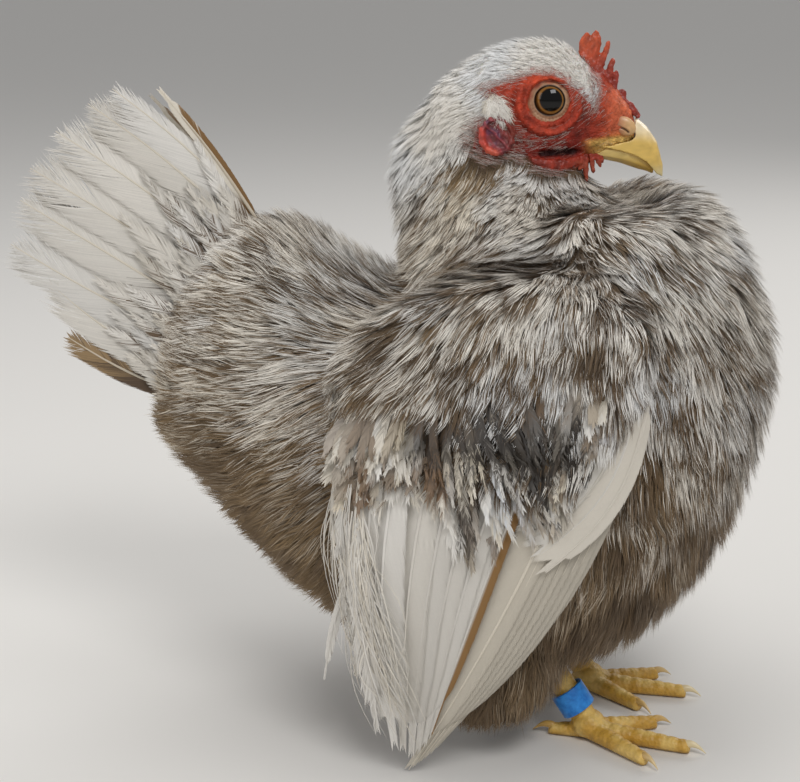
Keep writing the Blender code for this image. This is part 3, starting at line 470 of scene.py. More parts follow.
def makeForm(voxel, rounds, withBlades):
    # The bird's whole outer form, without its large feathers or with the folded blades.
    bm = bmesh.new()
    for node in ("torso", "neck", "head", "thigh_left", "thigh_right"):
        nodeForm(bm, node, 0.45)
    for node in ("eye_left", "eye_right"):
        nodeForm(bm, node, 0.2)
    rings = []
    for x in np.linspace(-46, -99, 9):
        low, high, half = along(torso, x)
        across, up = oval(half, (high - low) / 2, 2.15, 28)
        rings.append(toRow(np.column_stack([np.full(28, x), across, (low + high) / 2 + up])))
    loft(bm, rings)
    slope = math.atan2(wing["wrist"][1] - wing["elbow"][1], wing["wrist"][0] - wing["elbow"][0])
    for side in (-1, 1):
        x, z = wing["arm"]
        centre = Vector(toRow((x, side * (float(bodySide(x, 112.0)) + 0.5), z)))
        place = Matrix.Translation(centre) @ Matrix.Rotation(-slope, 4, "Y")
        size = Matrix.Diagonal((*[half * mm for half in wing["armHalf"]], 1))
        bmesh.ops.create_uvsphere(bm, u_segments=32, v_segments=20, radius=1, matrix=place @ size)
        x, y, z = wing["cape"]
        place = Matrix.Translation(Vector(toRow((x, side * y, z)))) @ Matrix.Rotation(-slope, 4, "Y")
        size = Matrix.Diagonal((*[half * mm for half in wing["capeHalf"]], 1))
        bmesh.ops.create_uvsphere(bm, u_segments=32, v_segments=20, radius=1, matrix=place @ size)
        if withBlades:
            a, b, c, d = (np.array(corner, float) for corner in wing["blades"])
            rings = []
            for t in np.linspace(0, 1, 14):
                u = np.linspace(0, 1, 12)[:, None]
                spots = (a * (1 - u) + b * u) * (1 - t) + (d * (1 - u) + c * u) * t
                out = wingSide(spots[:, 0], spots[:, 1]) + wing["bladeLayer"]
                ring = np.concatenate([
                    np.column_stack([spots[:, 0], side * out, spots[:, 1]]),
                    np.column_stack([spots[:, 0], side * (out - 7), spots[:, 1]])[::-1],
                ])
                rings.append(toRow(ring))
            loft(bm, rings)
    mesh = remeshed(meshOf(bm), voxel, rounds)
    bm = bmesh.new()
    bm.from_mesh(mesh)
    spots = toOwn(spotsOf(mesh))
    x, y, z = spots[:, 0], np.abs(spots[:, 1]), spots[:, 2]
    above = (z > 118) & (z < 158) & (x > -40) & (x < 72) & (y > 20)
    behind = (z > 84) & (z < 150) & (x > -48) & (x < -14) & (y > 30)
    bm.verts.ensure_lookup_table()
    chosen = [bm.verts[k] for k in np.nonzero(above | behind)[0]]
    for _ in range(int(150 / voxel**2)):
        bmesh.ops.smooth_vert(bm, verts=chosen, factor=0.5, use_axis_x=True, use_axis_y=True, use_axis_z=True)
    return meshOf(bm)


def nodeCopy(name, voxel, rounds):
    bm = bmesh.new()
    nodeForm(bm, name)
    return remeshed(meshOf(bm), voxel, rounds)


faceEdge = [  # outline of the bare face from the side, in the head's mm
    (13.5, 11.8), (14.7, 2.5), (13.5, -2.5), (9.9, 1.6), (5.4, 5.7), (0.9, 7.8), (-4.8, 7.6), (-11.7, 5.3),
    (-17.7, 3.3), (-14.7, 1.5), (-10.8, -3.1), (-11.7, -7.1), (-19.5, -5.9), (-21, -13), (-16.2, -15.8),
    (-9.9, -14.4), (-5.5, -15.2), (-3.0, -17.6), (3.3, -19.0), (11.4, -18.6), (27, -18), (32, 4), (22, 12),
]


def insideBy(flat, corners):
    # How far points lie inside an outline, in mm, and below 0 outside it.
    corners = np.array(corners, float)
    inside = np.zeros(len(flat), bool)
    near = np.full(len(flat), 1e9)
    for a, b in zip(corners, np.roll(corners, -1, 0)):
        crosses = (a[1] > flat[:, 1]) != (b[1] > flat[:, 1])
        at = a[0] + (flat[:, 1] - a[1]) / (b[1] - a[1] + 1e-9) * (b[0] - a[0])
        inside ^= crosses & (flat[:, 0] < at)
        share = np.clip(((flat - a) @ (b - a)) / ((b - a) @ (b - a)), 0, 1)
        near = np.minimum(near, np.linalg.norm(flat - a - share[:, None] * (b - a), axis=1))
    return np.where(inside, near, -near)


def bareAt(points):
    # How bare the skin is, 0 to 1.
    spots = toHead(points)
    signed = insideBy(spots[:, (0, 2)], faceEdge)
    return ease(signed, -0.5, 0.7) * (spots[:, 2] > -26) * (spots[:, 0] > -24)


def underWing(points):  # how far inside the folded blades a place on the flank lies, in mm
    points = np.asarray(points)
    return np.where(np.abs(points[:, 1]) > 30, insideBy(points[:, (0, 2)], wing["blades"]), -99.0)


coat = {
    # x, y outwards, z | lie | feather's length and half width, spacing | pale share, warmth, looseness
    "forehead": (36, 2, 199, -0.8, 0.2, 0.6, 3.2, 1.1, 1.15, 0.99, 0.05, 0.25),
    "combSide": (34, 6, 195, -0.2, 0.3, -0.9, 3.4, 1.0, 1.15, 0.98, 0.05, 0.3),
    "crown": (14, 3, 204.5, -1, 0, 0.05, 4.6, 1.5, 1.35, 1.00, 0.04, 0.15),
    "crownSide": (18, 11, 199, -0.97, 0.05, -0.12, 4.6, 1.4, 1.3, 1.00, 0.06, 0.15),
    "brow": (28, 10, 195, -0.7, 0.1, 0.4, 3.6, 1.1, 1.15, 0.98, 0.06, 0.2),
    "occiput": (-4, 6, 197, -0.85, 0, -0.5, 6.5, 2.0, 1.6, 0.99, 0.06, 0.30),
    "earTuft": (8.4, 15, 185.3, -0.6, 0.5, -0.5, 3.6, 1.4, 1.1, 1.0, 0.05, 0.6),
    "behindEar": (0, 14, 184, -0.8, 0.05, -0.5, 6.5, 2.0, 1.6, 0.92, 0.15, 0.20),
    "nape": (-19, 6, 180, -0.35, 0, -0.93, 11, 2.4, 1.9, 0.93, 0.15, 0.45),
    "napeLow": (-23, 9, 156, -0.35, 0.05, -0.93, 17, 3.0, 2.2, 0.66, 0.55, 0.50),
    "neckSide": (4, 17, 170, -0.3, 0.15, -0.93, 11, 2.5, 1.9, 0.40, 0.85, 0.25),
    "neckLow": (5, 30, 150, -0.25, 0.2, -0.94, 16, 3.2, 2.3, 0.42, 0.65, 0.30),
    "capeSide": (10, 44, 130, -0.12, 0.15, -0.97, 17, 3.6, 2.4, 0.42, 0.30, 0.30),
    "capeRear": (-10, 32, 136, -0.7, 0.15, -0.7, 17, 3.4, 2.4, 0.45, 0.5, 0.35),
    "jaw": (28, 9, 163.5, -0.35, 0.25, -0.85, 5.5, 1.6, 1.25, 0.80, 0.25, 0.30),
    "jawRear": (12, 14, 163.5, -0.6, 0.2, -0.75, 6.0, 1.8, 1.35, 0.82, 0.25, 0.30),
    "throat": (36, 6, 160, 0.45, 0.15, -0.88, 8, 2.2, 1.8, 0.70, 0.35, 0.20),
    "throatSide": (27, 14, 163, 0.1, 0.2, -0.95, 9, 2.4, 1.9, 0.74, 0.40, 0.20),
    "breastTop": (58, 8, 163, 0.97, 0.1, -0.12, 13, 3.2, 2.3, 0.72, 0.25, 0.25),
    "breastTopSide": (47, 30, 152, 0.78, 0.3, -0.5, 15, 3.5, 2.4, 0.60, 0.20, 0.25),
    "breastHigh": (80, 8, 148, 0.6, 0.05, -0.8, 15, 3.6, 2.5, 0.58, 0.25, 0.30),
    "breastFront": (90, 8, 115, 0.1, 0, -1, 16, 3.8, 2.6, 0.48, 0.20, 0.30),
    "breastLow": (82, 8, 72, -0.35, 0, -0.95, 18, 4.0, 2.8, 0.08, 0.60, 0.50),
    "sideHigh": (58, 45, 125, 0.3, 0.1, -0.95, 16, 3.8, 2.6, 0.50, 0.15, 0.30),
    "sideMid": (58, 46, 90, 0, 0, -1, 18, 4.0, 2.7, 0.17, 0.40, 0.45),
    "sideLow": (52, 38, 50, -0.22, 0, -0.97, 21, 3.8, 2.8, 0.14, 0.35, 0.70),
    "belly": (30, 15, 18, -0.35, 0.1, -0.9, 22, 3.8, 3.0, 0.14, 0.40, 0.80),
    "flank": (22, 53, 75, -0.15, 0, -1, 18, 4.0, 3.2, 0.26, 0.30, 0.50),
    "thigh": (12, 48, 32, -0.1, 0, -1, 20, 3.8, 2.9, 0.14, 0.40, 0.80),
    "rear": (-18, 25, 20, -0.5, 0, -0.85, 20, 3.8, 3.0, 0.10, 0.55, 0.80),
    "back": (-10, 12, 135, -1, 0.1, 0, 17, 3.8, 2.6, 0.56, 0.30, 0.25),
    "backSide": (-15, 45, 120, -0.75, 0.1, -0.65, 18, 3.8, 2.6, 0.46, 0.40, 0.30),
    "saddle": (-36, 18, 142, -0.95, 0.1, 0.2, 17, 3.8, 2.5, 0.64, 0.35, 0.25),
    "saddleSide": (-34, 44, 115, -0.88, 0.1, -0.3, 19, 3.8, 2.6, 0.60, 0.40, 0.30),
    "rumpTop": (-60, 14, 153, -0.88, 0.05, 0.45, 17, 3.6, 2.4, 0.76, 0.35, 0.25),
    "rumpSide": (-68, 38, 122, -0.97, 0.1, 0.1, 19, 3.8, 2.5, 0.48, 0.45, 0.35),
    "tailRoot": (-84, 24, 115, -0.97, 0.1, 0.25, 17, 3.6, 2.4, 0.72, 0.35, 0.35),
    "underTail": (-86, 12, 76, -0.9, 0.05, -0.2, 20, 3.8, 2.6, 0.26, 0.85, 0.70),
    "rumpLow": (-55, 30, 60, -0.8, 0, -0.55, 20, 3.8, 2.8, 0.06, 0.75, 0.60),
    "flankRear": (-38, 46, 84, -0.8, 0.1, -0.5, 19, 3.8, 2.6, 0.12, 0.75, 0.45),
    "flankLow": (-24, 44, 54, -0.6, 0.1, -0.75, 20, 3.8, 2.7, 0.12, 0.70, 0.60),
    "rumpDeep": (-74, 34, 92, -0.95, 0.1, -0.15, 18, 3.8, 2.6, 0.20, 0.75, 0.45),
    "shoulder": (58, 52, 128, -0.1, 0.1, -0.98, 12, 3.2, 2.2, 0.42, 0.15, 0.25),
    "armMid": (22, 64, 118, -0.3, 0.1, -0.95, 12, 3.4, 2.3, 0.32, 0.15, 0.20),
    "armRear": (-14, 57, 112, -0.7, 0.1, -0.7, 14, 3.4, 2.3, 0.34, 0.40, 0.25),
}
marks = [  # patches on both sides: x, z, reach in mm | change of the pale share | darker, cooler with a painted cool sheen, more golden
    (20, 104, 13, -0.55, 0.9, 0.0, 0.0), (36, 100, 9, -0.45, 0.8, 0.0, 0.1), (6, 106, 8, -0.3, 0.5, 0.0, 0.5),
    (24, 116, 11, 0.30, 0.0, 0.9, 0.0), (42, 118, 11, 0.30, 0.0, 0.9, 0.0), (54, 112, 7, 0.55, 0.0, 0.8, 0.0),
    (-12, 96, 7, -0.35, 0.1, 0.0, 0.9), (4, 92, 6, -0.35, 0.1, 0.0, 0.9), (-14, 112, 6, -0.2, 0.2, 0.0, 0.7),
    (-18, 128, 6, 0.55, 0.0, 0.6, 0.0),
]
coatRows = np.array(list(coat.values()), float)
coatRows[:, 3:6] = unit(coatRows[:, 3:6])


def straighten(points):
    # Own mm with the head and neck turned straight, and how far each point was turned.
    points = np.asarray(points, float)
    share = ease(points[:, 2], 140, 165)
    turn = bird["headTurn"] * share
    dx, dy = points[:, 0] - bird["headPlace"][0], points[:, 1] - bird["headPlace"][1] * share
    c, s = np.cos(turn), np.sin(turn)
    return np.column_stack([bird["headPlace"][0] + c * dx + s * dy, c * dy - s * dx, points[:, 2]]), turn


def coatAt(points, normals=None):
    # The coat's values at each point, blended by nearness; the lie is laid on the surface.
    spots, turn = straighten(points)
    side = np.sign(spots[:, 1])
    spots[:, 1] = np.abs(spots[:, 1])
    values = np.empty((len(spots), 9))
    for first in range(0, len(spots), 20000):
        part = slice(first, first + 20000)
        far = np.linalg.norm(spots[part, None] - coatRows[None, :, :3], axis=2) + 1.5
        weight = far**-4.0
        values[part] = weight @ coatRows[:, 3:] / weight.sum(1, keepdims=True)
    lie = values[:, :3].copy()
    lie[:, 1] *= side * np.clip(spots[:, 1] / 6, 0, 1)
    c, s = np.cos(turn), np.sin(turn)
    lie = np.column_stack([c * lie[:, 0] - s * lie[:, 1], s * lie[:, 0] + c * lie[:, 1], lie[:, 2]])
    if normals is not None:
        lie -= normals * (lie * normals).sum(1, keepdims=True)
    return unit(lie), values[:, 3:]


def cloud(points, size, seed):
    # Soft noise of about -1 to 1 with patches of a size in mm.
    return np.array([noise.noise(Vector((x / size + seed, y / size, z / size))) for x, y, z in points]) * 2.0


def depthAt(values, bare):  # how far the skin lies under the feather tips, in mm
    return np.clip(values[:, 0] * 0.30, 0.5, 5.6) * (1 - bare)


face = {
    "foldMiddle": (0.6, -0.2),  # middle of the folds round the eye, x and z in the head's mm
    "fold": 8.4,  # distance from there to the crest of the swollen fold
    "groove": 9.9,  # and to the groove outside it
    "crease": -14.6,  # height of the fold between cheek and wattle, painted dark as its shadow
}
faceTones = {  # bare skin of the face, by its parts; brow and swelling are lighter with painted highlight, hollow is darker with painted shade
    "flush": "#a04a36",
    "brow": "#bc5c3e",
    "cheek": "#7c302a",
    "swelling": "#aa5540",
    "hollow": "#6c281c",
    "cere": "#be7d60",
    "gape": "#c8985e",
    "jowl": "#8e3426",
}


def fleshAt(points):
    # The bare face's colour: lighter over the eye (painted highlight), deep on the cheek and in the hollow
    # before the eye (there painted shade), swollen below it and lighter there (painted highlight), pale by
    # the nostril and horny at the corner of the mouth.
    x, z = toHead(points)[:, (0, 2)].T
    # brow and swelling carry painted highlight, hollow carries painted shade
    parts = (
        ("brow", np.exp(-(((x + 1) / 7) ** 2)) * ease(z, 0, 7)),
        ("cheek", ease(-z, 2, 10) * (1 - ease(x, 8, 14))),
        ("swelling", 0.85 * np.exp(-((x / 5.5) ** 2) - ((z + 7.6) / 2.2) ** 2)),
        ("hollow", 0.75 * np.exp(-(((x - 11) / 2.6) ** 2) - ((z + 4.6) / 2.6) ** 2)),
        ("cere", ease(x, 13, 21) * (1 - ease(z, 1, 6))),
        ("gape", ease(x, 14, 20) * ease(-z, 8, 11)),
        ("jowl", ease(-z, 14.5, 17) * (1 - ease(x, 12, 17))),
    )
    tone = linear(faceTones["flush"])
    for name, share in parts:
        tone = blend(tone, linear(faceTones[name]), share)
    return tone


def underTint(points, values, bare):
    # The skin's colour: dull under the coat and patched like it, red on the face, with painted highlight and
    # shade on the folds round the eye and a painted shadow in the fold between cheek and wattle.
    patch = np.clip(values[:, 3] + 0.35 * cloud(points, 10, 3), 0, 1)
    covered = blend(shade["brown"] * 0.75, shade["taupe"], patch)
    covered = blend(covered, shade["white"] * 0.85, ease(values[:, 3], 0.78, 0.93))
    local = toHead(points)
    horny = ease(local[:, 0] + 0.25 * (local[:, 2] + 12), 8.5, 13.5)
    horny = horny * ease(-11.0 + 0.06 * (local[:, 0] - 9.5) - local[:, 2], -0.8, 0.8)
    horny = horny * ease(local[:, 2], -18.5, -15.5)
    flesh = blend(fleshAt(points), linear("#dcb464"), horny * 0.9)
    flesh *= (1 + 0.22 * cloud(points, 2.4, 9) + 0.18 * cloud(points, 0.9, 19))[:, None]
    away, lower = eyeFolds(local)
    # painted highlight on the crests of the folds round the eye, painted shade in the grooves beside them
    ridge = ridgeAt(away, face["fold"], 0.8) - ridgeAt(away, face["groove"], 0.6) - ridgeAt(away, 7.1, 0.4)
    flesh *= (1 + 0.24 * ridge * lower)[:, None]
    flesh = flesh * blend((1.06, 0.58, 0.42), (1.0, 1.0, 1.0), horny)
    # painted shadow: the fold between cheek and wattle near black
    flesh = blend(flesh, linear("#260504"), 0.95 * ease(mouthCrease(local), 0.2, 0.8))
    return blend(covered, flesh, bare)


def mouthCrease(local):  # the fold between cheek and wattle, sunk into the skin and painted dark as its shadow
    share = ease(local[:, 0], -5.0, 0) * (1 - ease(local[:, 0], 7.0, 11.5))
    return np.exp(-(((local[:, 2] - face["crease"]) / (0.25 + 0.85 * share)) ** 2)) * share


def eyeFolds(local):  # distance from the middle of the folds round the eye, and their strength, full below it
    x, z = face["foldMiddle"]
    away = np.hypot(local[:, 0] - x, local[:, 2] - z)
    return away, ease(-local[:, 2] - 0.25 * local[:, 0], -4.5, 1.0)


def ridgeAt(away, middle, wide):  # 1 on a ring of some radius, fading to both sides
    return np.exp(-(((away - middle) / wide) ** 2))


def settleByBill(local):
    # Skin that runs down to the horn beside the bill and lies under it, so the two meet flush.
    names = ("bill_upper", "bill_lower")
    bill = np.concatenate([toHead(toOwn(spotsOf(nodeCopy(name, 0.35, 2)))) for name in names])
    close = np.nonzero((local[:, 0] > 7) & (local[:, 2] < -4.5) & (np.abs(local[:, 1]) > 2))[0]
    for side in (-1, 1):
        shell = bill[bill[:, 1] * side > 0.4]
        tree = sideTree(shell)
        for k in close[local[close, 1] * side > 0]:
            x, y, z = local[k]
            found = tree.find_n((x, 0, z), 4)
            far = found[0][2]
            if far > 3.2:
                continue
            level = max(abs(shell[i][1]) for _, i, _ in found) - 0.06
            pull = (1 - float(ease(far, 0.25, 3.2))) * float(ease(-z, 5.0, 8.5))
            local[k, 1] = side * (abs(y) * (1 - pull) + min(abs(y), level) * pull)
    return local


def makeSkin(form):
    # The outer form drawn in by the coat's depth, with folds on the face.
    bm = bmesh.new()
    bm.from_mesh(form)
    centre = Vector(toRow(bird["headPlace"]))
    near = [e for e in bm.edges if (e.verts[0].co - centre).length < 31 * mm]
    bmesh.ops.subdivide_edges(bm, edges=near, cuts=2, use_grid_fill=True)
    bmesh.ops.smooth_vert(
        bm, verts=[v for v in bm.verts if (v.co - centre).length < 30 * mm], factor=0.5,
        use_axis_x=True, use_axis_y=True, use_axis_z=True,
    )
    bmesh.ops.triangulate(bm, faces=[f for f in bm.faces if len(f.verts) > 4])
    bm.normal_update()
    mesh = meshOf(bm)
    spots, normals = toOwn(spotsOf(mesh)), normalsOf(mesh)
    bare = bareAt(spots)
    values = coatAt(spots)[1]
    moved = spots - normals * depthAt(values, bare)[:, None]
    # crumpled skin, and a soft fold that runs round the eye below and behind it
    local = toHead(spots)
    away, lower = eyeFolds(local)
    folds = 0.26 * np.abs(cloud(spots, 2.4, 30)) + 0.16 * cloud(spots, 1.2, 40)
    folds += lower * (0.85 * ridgeAt(away, face["fold"], 0.8) - 0.60 * ridgeAt(away, face["groove"], 0.55))
    folds += 0.28 * ridgeAt(away, 10.8, 0.6) * lower - 0.25 * ridgeAt(away, 7.2, 0.35)
    ripples = np.sin(local[:, 0] * 2.6 + 1.2 * local[:, 2] + cloud(spots, 3, 12))
    folds += 0.16 * ripples * ease(-local[:, 2], 9, 12)
    folds -= 0.5 * ease(local[:, 0], 14.5, 19) * ease(-local[:, 2], 1.0, 6.0)
    folds -= 1.8 * mouthCrease(local)
    moved += normals * (folds * bare)[:, None]
    local = settleByBill(toHead(moved))
    away = np.hypot(local[:, 0] - bird["eyeAt"][0], local[:, 2] - bird["eyeAt"][1])
    level = np.minimum(np.abs(local[:, 1]), 10.0 + 4.0 * ease(away, 5.0, 6.4))
    inEye = (away < 6.4) & (np.abs(local[:, 1]) > 6)
    local[inEye, 1] = (np.sign(local[:, 1]) * level)[inEye]
    placeSpots(mesh, toRow(fromHead(local)))
    wide = ease(insideBy(toHead(spots)[:, (0, 2)], faceEdge), -2.6, -0.8) * ease(spots[:, 2], 176, 182)
    setTint(mesh, underTint(spots, values, np.maximum(bare, 0.75 * wide)))
    return mesh


form = makeForm(bird["skinVoxel"], 8, False)
guide = makeForm(2.0, 6, True)
print("form", len(form.polygons), "guide", len(guide.polygons))
skinMesh = makeSkin(form)
addPiece(
    "skin", skinMesh, "birdSkin",
    ["torso", "neck", "head", "thigh_left", "thigh_right"],
)
print("skin", len(skinMesh.polygons))


# Feathers
def strips(
    frames, who, start, side, reach, angle, curl, wide, lift, cup, rows, offset=0.0, gather=0.0, shingle=0.0
):
    # Barbs as tapered strips on each feather's own frame. One row of values for each barb.
    # frames: middle line, normals, sides and length of each feather; returns points and faces.
    middle, normal, across, length = frames
    count = len(who)
    step = (reach / rows)[:, None]
    share = (np.arange(rows) + 0.5) / rows
    heading = angle[:, None] * (1 - curl[:, None] * share[None])
    x = np.zeros((count, rows + 1))
    y = np.zeros((count, rows + 1))
    x[:, 1:] = np.cumsum(np.cos(heading) * step, 1)
    y[:, 1:] = np.cumsum(np.sin(heading) * step, 1)
    x += (start * length[who])[:, None]
    y = y * side[:, None] + np.broadcast_to(offset, count)[:, None]
    y *= 1 - gather * ease(x / length[who][:, None], 0.55, 1.15)
    q = np.arange(rows + 1) / rows
    height = lift[:, None] * q[None] ** 2 - cup[:, None] * y**2
    turn = angle[:, None] * (1 - curl[:, None] * q[None])
    half = wide[:, None] * (0.5 * np.sqrt(np.clip(1 - q**2.2, 0, 1)))[None]
    px, py = -np.sin(turn) * half * side[:, None], np.cos(turn) * half
    parts = []
    for sign in (-1, 1):
        high = height + sign * shingle
        parts.append(mapped(middle, normal, across, length, who, x + sign * px, y + sign * py, high))
    points = np.stack(parts, 2)
    points = np.concatenate([points[:, :-1].reshape(count, 2 * rows, 3), points[:, -1:, 0]], 1)
    faces = []
    for k in range(rows - 1):
        a = 2 * k
        faces += [(a, a + 1, a + 3), (a, a + 3, a + 2)]
    a = 2 * (rows - 1)
    faces.append((a, a + 1, a + 2))
    per = 2 * rows + 1
    faces = np.array(faces)[None] + (np.arange(count) * per)[:, None, None]
    order = np.repeat(np.arange(rows), 2)
    q = np.append(order / rows, 1.0)
    return points, faces.reshape(-1, 3), q


def mapped(middle, normal, across, length, who, x, y, height):
    # Points at x along, y across and a height, in feather frames, carried on past their ends.
    last = middle.shape[1] - 1
    at = x / length[who][:, None] * last
    low = np.clip(np.floor(at).astype(int), 0, last - 1)
    share = (at - low)[..., None]
    row = np.broadcast_to(who[:, None], low.shape)
    spot = middle[row, low] * (1 - share) + middle[row, low + 1] * share
    held = np.clip(share, 0, 1)
    up = unit(normal[row, low] * (1 - held) + normal[row, low + 1] * held)
    out = unit(across[row, low] * (1 - held) + across[row, low + 1] * held)
    return spot + out * y[..., None] + up * height[..., None]


def boxUnwrap(points, normals):
    # A place on an unwrap of the body in six charts, by the way the skin faces.
    axis = np.abs(normals).argmax(1)
    chart = axis * 2 + (normals[np.arange(len(axis)), axis] > 0)
    pairs = np.array([(1, 2), (0, 2), (0, 1)])[axis]
    low = np.array([-125.0, -75.0, -5.0])
    rows = np.arange(len(axis))
    a = (points[rows, pairs[:, 0]] - low[pairs[:, 0]]) / 240
    b = (points[rows, pairs[:, 1]] - low[pairs[:, 1]]) / 240
    return np.column_stack([(chart % 3 + 0.03 + 0.94 * a) / 3, (chart // 3 + 0.03 + 0.94 * b) / 2])


def arrayMesh(points, faces, tint, uv):
    mesh = bpy.data.meshes.new("made")
    mesh.vertices.add(len(points))
    mesh.vertices.foreach_set("co", points.ravel())
    mesh.loops.add(faces.size)
    mesh.loops.foreach_set("vertex_index", faces.ravel())
    mesh.polygons.add(len(faces))
    mesh.polygons.foreach_set("loop_start", np.arange(0, faces.size, 3))
    mesh.update(calc_edges=True)
    setTint(mesh, tint)
    layer = mesh.uv_layers.new(name="OFBake")
    layer.data.foreach_set("uv", uv[faces.ravel()].astype(np.float32).ravel())
    return mesh


class Plumes:  # gathers strips of many feathers until they are made into pieces
    def __init__(self):
        self.points, self.faces, self.tint, self.uv, self.count = [], [], [], [], 0

    def add(self, points, faces, tint, uv):
        flat = points.reshape(-1, 3)
        self.points.append(flat)
        self.faces.append(faces + self.count)
        self.tint.append(tint.reshape(-1, 3))
        self.uv.append(uv.reshape(-1, 2))
        self.count += len(flat)

    def mesh(self):
        points = np.concatenate(self.points)
        points[:, 2] = np.maximum(points[:, 2], 0.35)
        return arrayMesh(
            toRow(points), np.concatenate(self.faces), np.concatenate(self.tint), np.concatenate(self.uv)
        )


formSpots = toOwn(spotsOf(form))
form.calc_loop_triangles()
formFaces = np.empty(len(form.loop_triangles) * 3, int)
form.loop_triangles.foreach_get("vertices", formFaces)
formFaces = formFaces.reshape(-1, 3)


class Surface:  # nearest places and normals on a form, in own mm
    def __init__(self, mesh):
        self.spots, self.normals = toOwn(spotsOf(mesh)), normalsOf(mesh)
        faces = [tuple(face.vertices) for face in mesh.polygons]
        self.tree = BVHTree.FromPolygons(self.spots.tolist(), faces)
        self.corners = treeOf(self.spots)

    def nearest(self, points):
        return np.array([self.tree.find_nearest(Vector(p))[0] for p in points])

    def normalsAt(self, points):
        return self.normals[[self.corners.find(p)[1] for p in points]]


onSkin, onGuide = Surface(form), Surface(guide)


def scatterRoots():
    # Feather roots over the form, no nearer to each other than their spacing.
    corners = formSpots[formFaces]
    centres = corners.mean(1)
    area = np.linalg.norm(np.cross(corners[:, 1] - corners[:, 0], corners[:, 2] - corners[:, 0]), axis=1) / 2
    values = coatAt(centres)[1]
    under = underWing(centres) - np.maximum(0, centres[:, 2] - 92)
    spacing = values[:, 2] * np.where(under > 2, 1.4, 1.0)
    weight = area / spacing**2 * (bareAt(centres) < 0.5) * (under < 9)
    total = int(weight.sum() * 2.6)
    chosen = draw.choice(len(area), total, p=weight / weight.sum())
    a, b = draw.random(total), draw.random(total)
    flip = a + b > 1
    a[flip], b[flip] = 1 - a[flip], 1 - b[flip]
    tri = corners[chosen]
    roots = tri[:, 0] + a[:, None] * (tri[:, 1] - tri[:, 0]) + b[:, None] * (tri[:, 2] - tri[:, 0])
    spacing = spacing[chosen]
    roots, spacing = roots[bareAt(roots) < 0.35], spacing[bareAt(roots) < 0.35]
    tree = treeOf(roots)
    alive = np.ones(len(roots), bool)
    kept = []
    for k in range(len(roots)):
        if alive[k]:
            kept.append(k)
            for _, other, _ in tree.find_range(roots[k], spacing[k] * 0.86):
                alive[other] = False
    return roots[kept]


def trails(roots, lengths, steps, rise):
    # Middle lines of feathers that start under the coat and run along its lie to the tips.
    spots = roots
    normals = onSkin.normalsAt(spots)
    hidden = ((underWing(spots) > -3) & (spots[:, 2] < 94))[:, None]
    lines, ups = [], []
    for k in range(steps + 1):
        lines.append(spots)
        ups.append(normals)
        if k < steps:
            lie, _ = coatAt(spots, normals)
            lie = unit(lie + turnBy[:, None] * np.cross(normals, lie))
            ahead = spots + lie * (lengths / steps)[:, None]
            spots = np.where(hidden, onSkin.nearest(ahead), onGuide.nearest(ahead)) * 0.8 + ahead * 0.2
            found = np.where(hidden, onSkin.normalsAt(spots), onGuide.normalsAt(spots))
            normals = unit(found * 0.6 + normals * 0.4)
    lines, ups = np.stack(lines, 1), np.stack(ups, 1)
    bare = bareAt(roots)
    depth = depthAt(coatAt(roots)[1], bare) + 0.2
    t = np.linspace(0, 1, steps + 1)[None]
    height = -depth[:, None] * (1 - t) ** 0.8 + rise[:, None] * t**1.6
    lines = lines + ups * height[..., None]
    ahead = unit(np.gradient(lines, axis=1))
    across = unit(np.cross(ups, ahead))
    ups = unit(np.cross(ahead, across))
    return lines, ups, across, lengths


roots = scatterRoots()
print("feather roots", len(roots))
rootValues = coatAt(roots)[1]
turnBy = draw.normal(0, 0.16, len(roots)) + 0.25 * cloud(roots, 12, 50) * (rootValues[:, 5] > 0.2)
featherLength = rootValues[:, 0] * draw.uniform(0.82, 1.15, len(roots))
rise = draw.uniform(-0.4, 0.5, len(roots)) + rootValues[:, 5] * draw.uniform(0, 1.6, len(roots))
rise *= np.clip(rootValues[:, 0] / 12, 0.3, 1)
featherFrames = trails(roots, featherLength, 5, rise)
rootUv = boxUnwrap(roots, onSkin.normalsAt(roots))
print("feather lines")


